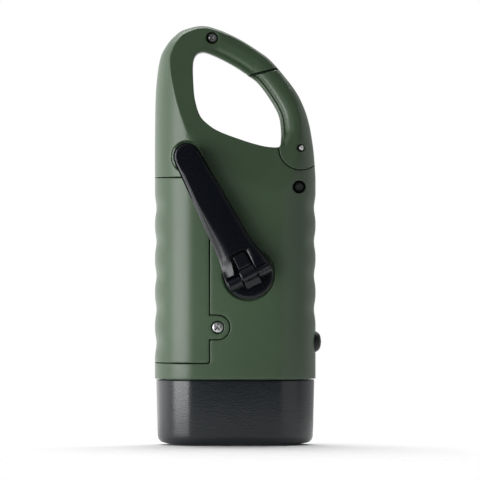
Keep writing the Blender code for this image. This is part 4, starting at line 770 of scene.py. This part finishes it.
def make_rear_shell():
    slope, corner, floor_wall = 0.1, 1.5, 1.2
    seat = rounded_box(window_half + gap, window_low - gap, window_high + gap, corner)
    foot = rounded_box(window_half + gap - slope, window_low - gap + slope, window_high + gap - slope,
                       corner - slope)
    hard = [(pocket_back, True), (bottom_line, False), (notch, False)]
    lines, rows, top_case, bottom_case = shell_faces(hard, [])
    lines += [(seat, True), (foot, True)]
    rows.append(beside(seat, edge_gaps, True))

    def top(points):
        away = nearest(points, seat, True)[0]
        inside = within(points, seat)
        share = np.where(inside, np.clip(away / slope, 0.0, 1.0), 0.0)
        height = top_case(points) - np.where(inside, edge_round, worn_edge(away))
        return height * (1 - share) + window_seat * share

    def bottom(points):
        return np.minimum(bottom_case(points), top(points) - floor_wall * within(points, seat) - thin)

    form = relief(lines, rows, coarse_pitch, shell_area(pocket_back), top, bottom, flip=True)
    forms = [placed(form, facing_back), placed(half_spigot(1), upright)]
    add_piece("rear_shell_moulding", forms, "green_plastic", "case", ["rear_shell"])


def make_cover():
    lines, rows, top, bottom = shell_faces([(cover_edge, True)], [(*cover_screw, 2.1, 14.2)])
    keep = lambda points: on_case(points) & within(points, cover_edge)
    form = relief(lines, rows, fine_pitch, keep, top, bottom)
    add_piece("battery_cover_moulding", [placed(form, facing_front())], "green_plastic", "case",
              ["battery_cover"])


def make_gate():
    """Both halves of the gate, with a hairline between them at the parting plane."""
    hairline = 0.04
    forms = []
    for face, line, place in ((-1, gate_front, facing_front()), (1, gate_back, facing_back)):
        lines, rows, top, _ = shell_faces([(line, True)], [(pivot_x, pivot_z, 1.32, 8.8)])
        keep = lambda points: on_case(points) & within(points, line)
        bottom = lambda points: np.minimum(hairline * (face > 0), top(points) - thin)
        forms.append(placed(relief(lines, rows, fine_pitch, keep, top, bottom, flip=face > 0), place))
    add_piece("gate_moulding", forms, "green_plastic", "gate", ["gate"])


# Lens end
def lens_section(height, draw=0.0, sag=0.0):
    """A level section of the lens end, drawn in a little more towards the floor."""
    inset = 0.4 + 0.5 * (1 - min(height, seam_height) / seam_height) + draw
    return oblong(half_width - inset, half_depth - inset, side_round - inset, height, sag)


def make_bezel():
    toe_round, toe_draw, toe_sag, lip_height, lip_round = 3.0, 1.6, 1.1, 21.0, 0.35
    sections = []
    for a in range(0, 91, 10):
        rise = toe_round * (1 - math.cos(math.radians(a)))
        sections.append(lens_section(rise, toe_draw * (1 - math.sin(math.radians(a))),
                                     toe_sag * (1 - rise / toe_round)))
    sections += [lens_section(height) for height in np.linspace(3.9, 20.4, 12)]
    for a in (0, 30, 60, 90):
        sections.append(lens_section(lip_height - lip_round + lip_round * math.sin(math.radians(a)),
                                     lip_round * (1 - math.cos(math.radians(a)))))
    for inner in ((lip_height, 1.9), (20.8, 2.1), (1.3, 2.1), (1.2, 2.3), (1.2, 4.0), (1.0, 4.2),
                  (0.3, 4.2, 0.4), (0.05, 4.0, 1.0)):
        sections.append(lens_section(*inner))
    add_piece("bezel_moulding", [placed(lofted(sections), upright)], "black_plastic", "case", ["bezel"])


def make_lens():
    """The clear plate behind the bezel's rim, with its edges rounded."""
    draw, low, high, edge = 2.4, 1.5, 3.1, 0.25
    sections = [lens_section(low, draw + edge), lens_section(low + edge, draw),
                lens_section(high - edge, draw), lens_section(high, draw + edge)]
    count = len(sections[0])
    points, faces = lofted(sections)
    faces = faces[:3 * count]
    for start, turn in ((0, -1), (3 * count, 1)):
        for k in range(count // 2):
            face = whole_face([start + v for v in (k, k + 1, (count - k - 1) % count, (count - k) % count)])
            if face:
                faces.append(face[::turn])
    add_piece("lens_plate", [placed((points, faces), upright)], "clear_plastic", "case", ["lens"])


# Screws and pins
def cross_head(radius, height):
    """A round screw head with a domed top and a tapered cross slot."""
    half, reach, slot_depth, slope = 0.275, radius * 0.66, 0.75, 0.07
    dome_drop, rim_round, mouth_round = 0.28, 0.22, 0.08

    def cross(grow):
        near, far = half + grow, reach + grow
        corners = []
        for turn in np.radians([0, 90, 180, 270]):
            out = np.array([math.cos(turn), math.sin(turn)])
            side = np.array([-out[1], out[0]])
            corners += [out * near - side * near, out * far - side * near, out * far + side * near]
        turn = math.radians(45)
        twist = np.array([[math.cos(turn), math.sin(turn)], [-math.sin(turn), math.cos(turn)]])
        return spaced(np.array(corners) @ twist, 0.14, closed=True)

    mouth, foot, rim = cross(0.0), cross(-slope), ring(0.0, 0.0, radius, 56)

    def top(points):
        away = np.hypot(points[:, 0], points[:, 1])
        dome = height - dome_drop * (away / radius) ** 2
        dome = dome - worn_edge(np.maximum(radius - away, 0.0), rim_round)
        edge = nearest(points, mouth, True)[0]
        inside = within(points, mouth)
        share = np.where(inside, np.clip(edge / slope, 0.0, 1.0), 0.0)
        floor = dome - slot_depth * (1 - 0.45 * away / reach)
        return dome * (1 - share) + floor * share - np.where(inside, 0.05, worn_edge(edge, mouth_round))

    rows = [beside(rim, (0.04, 0.12, 0.22), True), beside(mouth, (0.04, 0.08), True)]
    return relief([(rim, True), (mouth, True), (foot, True)], rows, 0.3, inside_of(rim), top, flat_at(0.0))


def make_screw(name, x, z, front, radius, head, shank, length, slot, finish=None):
    """A screw seen from the crank face, with rings of thread on its shank."""
    root, thread_pitch, crest = 0.82, 0.5, 0.12
    profile = [(0.0, thin), (shank, thin)]
    turns = int(length / thread_pitch)
    for k in range(turns):
        down = -length * (k + 0.5) / turns
        profile += [(shank * root, down + crest), (shank, down)]
    profile += [(shank * 0.7, -length), (0.0, -length)]
    place = facing_front(x, z, front - head)
    forms = [placed(cross_head(radius, head), place), placed(turned(profile, 28), place)]
    add_piece(name + "_metal", forms, slot, "case", [name], finish=finish)


def make_pins():
    pin = soften([(0.0, 10.0), (0.3, 9.96), (0.6, 9.82), (0.87, 9.5), (0.87, -9.8), (0.0, -9.8)], 0.2)
    add_piece("gate_pin_metal", [placed(turned(pin, 36), facing_front(pivot_x, pivot_z))],
              "bright_steel", "case", ["gate_pin"], finish=satin_steel)
    pin = soften([(0.0, 7.2), (1.0, 7.2), (1.0, -7.2), (0.0, -7.2)], 0.25)
    add_piece("hinge_pin_metal", [placed(turned(pin, 36), along_hinge)],
              "bright_steel", "crank", ["crank_hinge_pin"], finish=finishes["dark_steel"])


# Crank, drawn across and along from the hub's axis
slot_half, slot_top, ear_half, tip_radius = 2.95, 8.1, 7.4, 4.35
arm_side = [(5.6, 20.0), (5.9, 12.0), (6.15, 8.6), (6.6, 6.6), (7.1, 4.9), (7.38, 3.0), (ear_half, 1.2),
            (ear_half, -2.7)]
arm_edge = np.vstack([
    arm_side[::-1], ring(0.0, arm_length, tip_radius, 48, 3.0, 177.0), [(-x, z) for x, z in arm_side]])
slot_edge = np.vstack([
    [(-slot_half, -2.7)], ring(1.2 - slot_half, slot_top - 1.2, 1.2, 10, 180.0, 90.0),
    ring(slot_half - 1.2, slot_top - 1.2, 1.2, 10, 90.0, 0.0), [(slot_half, -2.7)]])


def arch(along, middle, reach):
    """Height of a round arch, from 0 at its feet to 1 at its middle."""
    return np.sqrt(1 - np.clip((along - middle) / reach, -1.0, 1.0) ** 2)


def shoulder(distance, reach):
    """How far a round shoulder has risen, from 0 at its edge to 1 at its reach."""
    return np.sqrt(1 - (1 - np.clip(distance / reach, 0.0, 1.0)) ** 2)


def cross_row(start, end, count, along, away):
    """A row of points across a form, with their distance from its lines as a third column."""
    return np.column_stack([np.linspace(start, end, count), np.full(count, along), np.full(count, away)])


def make_arm():
    """The folding arm: a flanged bar with a rounded flank, forked into two ears at its hinge."""
    outer, inner = spaced(arm_edge, 0.5), spaced(slot_edge, 0.4)
    line = np.vstack([outer, inner])
    flange, flange_height, arm_face, arm_under = 0.42, 20.35, 22.0, 19.4
    left_foot, right_foot, notch_high, notch_left = 1.55, 1.0, 4.65, -4.2

    def bar_height(across, along, rim):
        """The flange, the rounded flank inside it and the slightly crowned face."""
        flank = 3.6 - 1.4 * ease(along, 8.0, 20.0) - 1.4 * ease(along, 16.0, 29.0)
        flank = flank - 0.5 * ease(along, 36.0, 44.0)
        flank = np.where(across > 0, np.minimum(flank, 1.0), flank)
        bar = flange_height + (arm_face - flange_height) * shoulder(rim - flange, flank) - 0.005 * across ** 2
        slope = 0.45 * (1 - ease(along, 24.0, 40.0))
        return np.where(rim < flange, flange_height - slope * (flange - rim), bar)

    def facet_height(across, along, rim):
        """The slanting flat on the left shoulder, above the ear."""
        inward = across + 7.3
        facet = 20.68 + np.where(inward < 2.1, 0.1 * inward ** 2, 0.441 + 0.42 * (inward - 2.1))
        return np.minimum(facet + 0.14 * (5.6 - along), arm_face) - worn_edge(rim, 0.12)

    def top(points):
        across, along = points[:, 0], points[:, 1]
        rim, slot = nearest(points, outer)[0], nearest(points, inner)[0]
        bar = bar_height(across, along, rim)
        near_ear = (1 - ease(along, 3.8, 8.2)) * (across < 0)
        bar = bar + (facet_height(across, along, rim) - bar) * near_ear
        bar = bar - 0.12 * ease(along, 36.0, 46.0)
        ear = hinge_height + 2.15 * arch(along, -0.35, 2.15) - worn_edge(ear_half - np.abs(across), 0.3)
        ear = ear - 0.22 * np.exp(-((along + 1.0) / 0.28) ** 2) * (across > 0)
        notched = (across < 0) & (across > notch_left + 0.22 * (along - left_foot)) & (along < notch_high)
        bar = np.where(notched, np.minimum(bar, 20.3), bar)
        body = np.where(along < np.where(across < 0, left_foot, right_foot), ear, bar)
        wedge = 21.9 + 0.42 * (across - slot_half - 0.16) - 0.06 * (along - 2.4)
        at_wedge = (across > 2.0) & (along > 1.0) & (along < 7.2) & (slot < 0.8)
        body = np.where(at_wedge, np.minimum(body, wedge), body)
        return np.maximum(body - worn_edge(slot, np.where(across > 2.0, 0.05, 0.14)), hinge_height - 2.0)

    def bottom(points):
        along = points[:, 1]
        share = ease(along, 1.6, 3.4)
        ear = hinge_height - 2.6 * arch(along, -0.1, 2.6)
        return np.minimum(ear * (1 - share) + arm_under * share, top(points) - 0.05)

    steps = [spaced(np.array([(-7.3, foot), (-3.0, foot)]), 0.4) for foot in (left_foot, left_foot - 0.1)]
    steps += [spaced(np.array([(3.0, foot), (7.3, foot)]), 0.4) for foot in (right_foot, right_foot - 0.1)]
    for inset in (0.0, 0.07):
        high = notch_high - inset
        corners = [(notch_left + inset, 1.56), (-3.52 + inset, high), (-slot_half, high)]
        steps.append(spaced(np.array(corners), 0.3))
    rows = [beside(outer, (0.05, 0.12, 0.3, 0.41, 0.46, 0.6, 0.85, 1.2, 1.7, 2.3, 2.8)),
            beside(inner, (0.05, 0.1, 0.16, 0.3, 0.5))]
    for along in (-2.4, -2.1, -1.6, -1.2, -0.9, -0.4, 0.2, 0.7, 2.2, 2.9):
        for side in (-1, 1):
            rows.append(cross_row(side * 3.2, side * 7.2, 12, along, 0.1))
    lines = [(line, True)] + [(step, False) for step in steps]
    form = relief(lines, rows, 0.8, inside_of(line), top, bottom)
    peg = turned(soften([(0.0, 0.0), (1.5, 0.0), (1.5, -2.2), (0.0, -2.2)], 0.2), 36)
    forms = [placed(form, about_crank()), placed(peg, about_crank(arm_length, 19.6))]
    add_piece("crank_arm_moulding", forms, "crank_plastic", "arm", ["crank_arm"], 38.0)


def make_hub():
    """The hub disc with its chamfered rim, its two-part knuckle and the tongue in the fork."""
    disc = [(0.0, 16.25), (6.5, 16.25), (6.8, 16.25), (7.55, 16.12), (7.85, 15.9), (7.85, 15.2), (0.0, 15.2)]
    shaft = soften([(0.0, 16.0), (2.0, 16.0), (2.0, 11.6), (0.0, 11.6)], 0.2)
    half, low, high, shelf_end, base = 2.62, -4.1, 3.0, -1.3, 16.0
    line = spaced(np.array([(half, low), (half, high), (-half, high), (-half, low)]), 0.25, closed=True)

    def knuckle(points):
        across, along = points[:, 0], points[:, 1]
        barrel = hinge_height + 2.75 * arch(along, 0.2, 2.9)
        shelf = 20.3 - 0.55 * (along - shelf_end) ** 2 / 4
        left = worn_edge(across + half, 0.5) * (across < 0)
        height = np.where(along > shelf_end, barrel, shelf)
        return height - left - worn_edge(half - np.abs(across), 0.12) - worn_edge(along - low, 0.5)

    rows = [cross_row(-2.55, 2.55, 15, along, 0.05) for along in (
        -4.0, -3.8, -3.6, -3.0, -2.2, -1.36, -1.24, -0.8, -0.2, 0.4, 1.0, 1.5, 1.9, 2.3, 2.6, 2.8, 2.94)]
    rows.append(beside(line, (0.05, 0.12, 0.2), True))
    block = np.vstack([
        [(2.45, 2.4)], ring(1.55, 6.7, 0.9, 8, 0.0, 90.0), ring(-1.35, 6.5, 1.1, 8, 90.0, 180.0),
        [(-2.45, 2.4)]])
    block = spaced(block, 0.3, closed=True)

    def tongue(points):
        return 20.2 + 0.85 * shoulder(nearest(points, block, True)[0], 0.7) + 0.05 * points[:, 0]

    under = lambda points: np.where(points[:, 1] > 3.0, 17.3, base)
    block_rows = [beside(block, (0.04, 0.12, 0.25, 0.45, 0.7), True)]
    forms = [turned(soften(disc, 0.12, 2), 96), turned(shaft, 40),
             relief([(line, True)], rows, 0.7, inside_of(line), knuckle, flat_at(base)),
             relief([(block, True)], block_rows, 0.6, inside_of(block), tongue, under)]
    forms = [placed(form, about_crank()) for form in forms]
    add_piece("crank_hub_moulding", forms, "crank_plastic", "crank", ["crank_hub"], 36.0)


def make_knob():
    """The low knob that stands up when the arm is folded out, with grip flutes round its rim."""
    low, high, bore, radius, flutes, flute_depth = 16.3, 19.1, 1.8, 4.0, 16, 0.045
    profile = soften([(bore, high), (3.7, high), (radius, high - 0.4), (radius, low + 0.6), (3.4, low),
                      (2.6, low), (2.6, low + 1.2), (bore, low + 1.2)], 0.2, 2)
    points, faces = turned(profile, 96, hollow=True)
    turn = np.arctan2(points[:, 1], points[:, 0])
    grip = np.hypot(points[:, 0], points[:, 1]) > 3.3
    flute = 1 - flute_depth * grip * (0.5 + 0.5 * np.cos(turn * flutes)) ** 2
    points = points * np.column_stack([flute, flute, np.ones(len(points))])
    tip, screw_foot = about_crank(arm_length), 17.4
    add_piece("crank_knob_moulding", [(tip(points), faces)], "crank_plastic", "knob", ["crank_knob"])
    under = lambda p: tip(np.column_stack([-p[:, 0], p[:, 1], screw_foot - p[:, 2]]))
    shank = turned([(0.0, 0.05), (0.7, 0.05), (0.7, -1.4), (0.0, -1.4)], 28)
    forms = [placed(cross_head(2.2, 0.8), under), placed(shank, under)]
    add_piece("knob_screw_metal", forms, "bright_steel", "knob", ["knob_screw"])


def make_button():
    dome = smooth_line(np.array([(0.0, 1.8), (1.7, 1.55), (2.72, 0.99), (3.4, 0.0)]), 5)
    stem = [(3.4, -0.6), (3.4, -2.7), (4.3, -2.7), (4.3, -3.5), (0.0, -3.5)]
    form = turned([tuple(p) for p in dome] + stem, 72)
    add_piece("push_button_moulding", [placed(form, facing_side(half_width, button_z))], "button_rubber",
              "button", ["push_button"])


# Wire and printed lines, made by node trees
def grown(name, inputs, build):
    """The plain mesh of a node tree with named inputs, given as a kind of socket and a value each."""
    tree = bpy.data.node_groups.new(name, "GeometryNodeTree")
    tree.interface.new_socket("Geometry", in_out="INPUT", socket_type="NodeSocketGeometry")
    sockets = {title: tree.interface.new_socket(title, in_out="INPUT", socket_type="NodeSocket" + kind)
               for title, (kind, _) in inputs.items()}
    tree.interface.new_socket("Geometry", in_out="OUTPUT", socket_type="NodeSocketGeometry")
    given = tree.nodes.new("NodeGroupInput").outputs
    real = new_node(tree, "GeometryNodeRealizeInstances", {"Geometry": build(tree, given)})
    paint = new_node(tree, "GeometryNodeSetMaterial", {
        "Geometry": real.outputs["Geometry"], "Material": given["Finish"]})
    new_node(tree, "NodeGroupOutput", {"Geometry": paint.outputs["Geometry"]})
    holder = new_object(name + "_maker", bpy.data.meshes.new(name + "_start"))
    modifier = holder.modifiers.new(name, "NODES")
    modifier.node_group = tree
    for title, (_, value) in inputs.items():
        modifier[sockets[title].identifier] = value
    mesh = bpy.data.meshes.new_from_object(holder.evaluated_get(bpy.context.evaluated_depsgraph_get()))
    mesh.name = name
    bpy.data.objects.remove(holder, do_unlink=True)
    return mesh


def wound_wire(name, turns, radius, height, wire, steps, slot, place, nodes=()):
    """A wound wire: a spiral of given turns, radius, height and wire size."""
    def winding(tree, given):
        path = new_node(tree, "GeometryNodeCurveSpiral", {
            "Resolution": steps, "Rotations": given["Turns"], "Start Radius": given["Radius"],
            "End Radius": given["Radius"], "Height": given["Height"]})
        section = new_node(tree, "GeometryNodeCurvePrimitiveCircle", {
            "Resolution": 10, "Radius": given["Wire Radius"]})
        sweep = new_node(tree, "GeometryNodeCurveToMesh", {
            "Curve": path.outputs["Curve"], "Profile Curve": section.outputs["Curve"], "Fill Caps": True})
        smooth = new_node(tree, "GeometryNodeSetShadeSmooth", {"Geometry": sweep.outputs["Mesh"]})
        return smooth.outputs["Geometry"]

    mesh = grown(name, {
        "Turns": ("Float", turns), "Radius": ("Float", radius), "Height": ("Float", height),
        "Wire Radius": ("Float", wire), "Finish": ("Material", finishes[slot])}, winding)
    points = np.empty(len(mesh.vertices) * 3)
    mesh.vertices.foreach_get("co", points)
    points = (place(points.reshape(-1, 3)) + datum) / per_metre
    mesh.vertices.foreach_set("co", points.ravel())
    add_item(name, mesh, "case", nodes)


def printed_lines(name, count, offset, size, centre):
    """Printed lines on the solar cell: a row of thin bars at an even pitch."""
    def bars(tree, given):
        row = new_node(tree, "GeometryNodeMeshLine", {
            "Count": given["Count"], "Start Location": given["Start"], "Offset": given["Offset"]})
        bar = new_node(tree, "GeometryNodeMeshCube", {"Size": given["Bar Size"]})
        return new_node(tree, "GeometryNodeInstanceOnPoints", {
            "Points": row.outputs["Mesh"], "Instance": bar.outputs["Mesh"]}).outputs["Instances"]

    offset, size = np.array(offset) / per_metre, np.array(size) / per_metre
    start = (np.array(centre) + datum) / per_metre - offset * (count - 1) / 2
    mesh = grown(name, {
        "Count": ("Int", count), "Offset": ("Vector", tuple(offset)), "Start": ("Vector", tuple(start)),
        "Bar Size": ("Vector", tuple(size)), "Finish": ("Material", silver_print)}, bars)
    add_item(name, mesh, "case")


def make_solar_face():
    """The clear window over the solar cell, the cell and its printed lines."""
    def plate(x, low, high, front, back, radius, edge):
        line = rounded_box(x, low, high, radius)
        top = lambda points: front - worn_edge(nearest(points, line, True)[0], edge)
        rows = [beside(line, (edge * 0.15, edge * 0.45, edge), True)]
        form = relief([(line, True)], rows, 4.0, inside_of(line), top, flat_at(back), flip=True)
        return placed(form, facing_back)

    window = plate(window_half, window_low, window_high, front=15.05, back=14.05, radius=1.3, edge=0.25)
    add_piece("solar_window_plate", [window], "clear_plastic", "case", ["solar_window"])
    first_low, wafer_pitch, wafer_height, wafer_half = 30.1, 13.05, 12.6, 12.2
    forms = []
    for k in range(4):
        low = first_low + k * wafer_pitch
        high = low + wafer_height
        forms.append(plate(wafer_half, low, high, front=13.72, back=12.95, radius=0.4, edge=0.08))
    add_piece("solar_cell_wafers", forms, "solar_blue", "case", ["solar_cell"])
    middle_z, ink = (window_low + window_high) / 2, 0.04
    printed_lines("solar_fingers", 44, (0.0, 0.0, 1.18), (23.6, ink, 0.09), (0.0, 13.75, middle_z))
    printed_lines("solar_busbars", 3, (7.6, 0.0, 0.0), (0.7, ink, 50.8), (0.0, 13.77, middle_z))


def in_case(box):
    """The lowest and the highest corner of a box of the model, in the case's own frame."""
    return [np.array(corner) * per_metre - datum for corner in box]


def make_windings():
    low, high = in_case(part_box("stator_coil"))
    middle, size = (low + high) / 2, high - low
    pitch, wire, end_gap = 0.62, 0.31, 0.35

    def along_x(p):
        return np.column_stack([middle[0] + p[:, 2] - size[0] / 2 + end_gap, middle[1] + p[:, 0],
                                middle[2] + p[:, 1]])

    wound_wire("coil_winding", int(size[0] / pitch), size[2] / 2 - wire - 0.01, size[0] - end_gap * 2, wire,
               36, "coil_copper", along_x)
    spring_radius, spring_wire = 3.2, 0.25
    for tag in ("1", "2"):
        low, high = in_case(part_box("cell_spring_" + tag))
        foot = np.array([(low[0] + high[0]) / 2, (low[1] + high[1]) / 2, low[2] + spring_wire])
        free = high[2] - low[2] - spring_wire * 2
        wound_wire("contact_spring_" + tag, 3.0, spring_radius, free, spring_wire, 40, "contact_nickel",
                   lambda p: foot + p, ["cell_spring_" + tag])


# Stage, in metres
def make_stage():
    floor_radius, sides = 0.15, 64
    turns = [2 * math.pi * k / sides for k in range(sides)]
    mesh = bpy.data.meshes.new("floor")
    mesh.from_pydata([(floor_radius * math.cos(t), floor_radius * math.sin(t), 0.0) for t in turns], [],
                     [tuple(range(sides))])
    mesh.materials.append(floor_finish)
    floor = new_object("floor", mesh)
    scene = bpy.context.scene
    scene.view_settings.view_transform = "Standard"
    make_tent(scene)
    # Softboxes: angle, height, distance, width, tallness and radiance
    make_softbox("left_softbox", -57.0, 0.07, 1.1, 0.98, 0.75, 5.3)
    make_softbox("right_softbox", 58.0, 0.1, 0.9, 0.8, 0.5, 0.4)
    make_softbox("rear_top_softbox", 180.0, 1.15, 0.6, 1.7, 1.0, 3.3)
    camera = new_object("camera", bpy.data.cameras.new("camera"))
    distance, sensor, view_width = 2.0, 36.0, 0.15484
    camera.location = (0.00063, 0.0032 - distance, 0.06597)
    camera.rotation_euler = (math.radians(90), 0.0, 0.0)
    camera.data.sensor_width = sensor
    camera.data.lens = sensor * distance / view_width
    camera.data.clip_end = 100.0
    scene.camera = camera


def make_tent(scene):
    """A tent all round, dimmer in front, at the right and above, that the camera sees as plain white."""
    world = bpy.data.worlds.new("light_tent")
    scene.world = world
    world.use_nodes = True
    tree = world.node_tree
    place = new_node(tree, "ShaderNodeTexCoord").outputs["Generated"]
    parts = new_node(tree, "ShaderNodeSeparateXYZ", {"Vector": place}).outputs

    def product(first, second):
        return new_node(tree, "ShaderNodeMath", {0: first, 1: second}, operation="MULTIPLY").outputs[0]

    behind = spread(tree, parts["Y"], 0.38, 1.0, -0.25, 0.3)
    leftward = spread(tree, parts["X"], 1.5, 0.5, -0.5, 0.3)
    lower = spread(tree, parts["Z"], 1.2, 0.5, -0.3, 0.45)
    camera_side = spread(tree, parts["Y"], 0.1, 1.0, -0.995, -0.84)
    strength = product(product(behind, leftward), product(product(lower, camera_side), 1.12))
    plain_white = (1.0, 1.0, 1.0, 1.0)
    tent = fill(tree, tree.nodes["Background"], {"Strength": strength, "Color": plain_white})
    white = new_node(tree, "ShaderNodeBackground", {"Color": plain_white})
    mixed = new_node(tree, "ShaderNodeMixShader", {
        "Fac": new_node(tree, "ShaderNodeLightPath").outputs["Is Camera Ray"],
        1: tent.outputs["Background"], 2: white.outputs["Background"]})
    fill(tree, tree.nodes["World Output"], {"Surface": mixed.outputs["Shader"]})


def make_softbox(name, turn, height, distance, width, tall, radiance):
    """A soft light at an angle round from the camera's side, aimed at the torch's middle."""
    light = bpy.data.lights.new(name, "AREA")
    light.shape = "RECTANGLE"
    light.size, light.size_y = width, tall
    light.energy = radiance * width * tall * math.pi
    item = new_object(name, light)
    away = math.radians(turn)
    item.location = (distance * math.sin(away), -distance * math.cos(away), height)
    item.rotation_mode = "QUATERNION"
    aim = Vector((0.0, 0.0, 0.07)) - item.location
    item.rotation_quaternion = aim.to_track_quat("-Z", "Y")


for make in (make_stage, make_front_shell, make_rear_shell, make_cover, make_gate, make_bezel, make_lens,
             make_arm, make_hub, make_knob, make_pins, make_button, make_solar_face, make_windings):
    make()
# Screws: place, front of the head, its radius and height, the shank's radius and length
make_screw("battery_cover_screw", *cover_screw, 15.6, 1.8, 1.1, 0.8, 5.0, "bright_steel")
# The top and side screws take the plated steel darkened as painted shade for their recesses
make_screw("case_screw_top", *top_screw, 4.9, 1.45, 1.3, 0.9, 7.5, "bright_steel", shade_darkened_steel)
make_screw("case_screw_side", *side_screw, 7.4, 1.6, 1.3, 0.9, 8.6, "dark_steel", shade_darkened_steel)
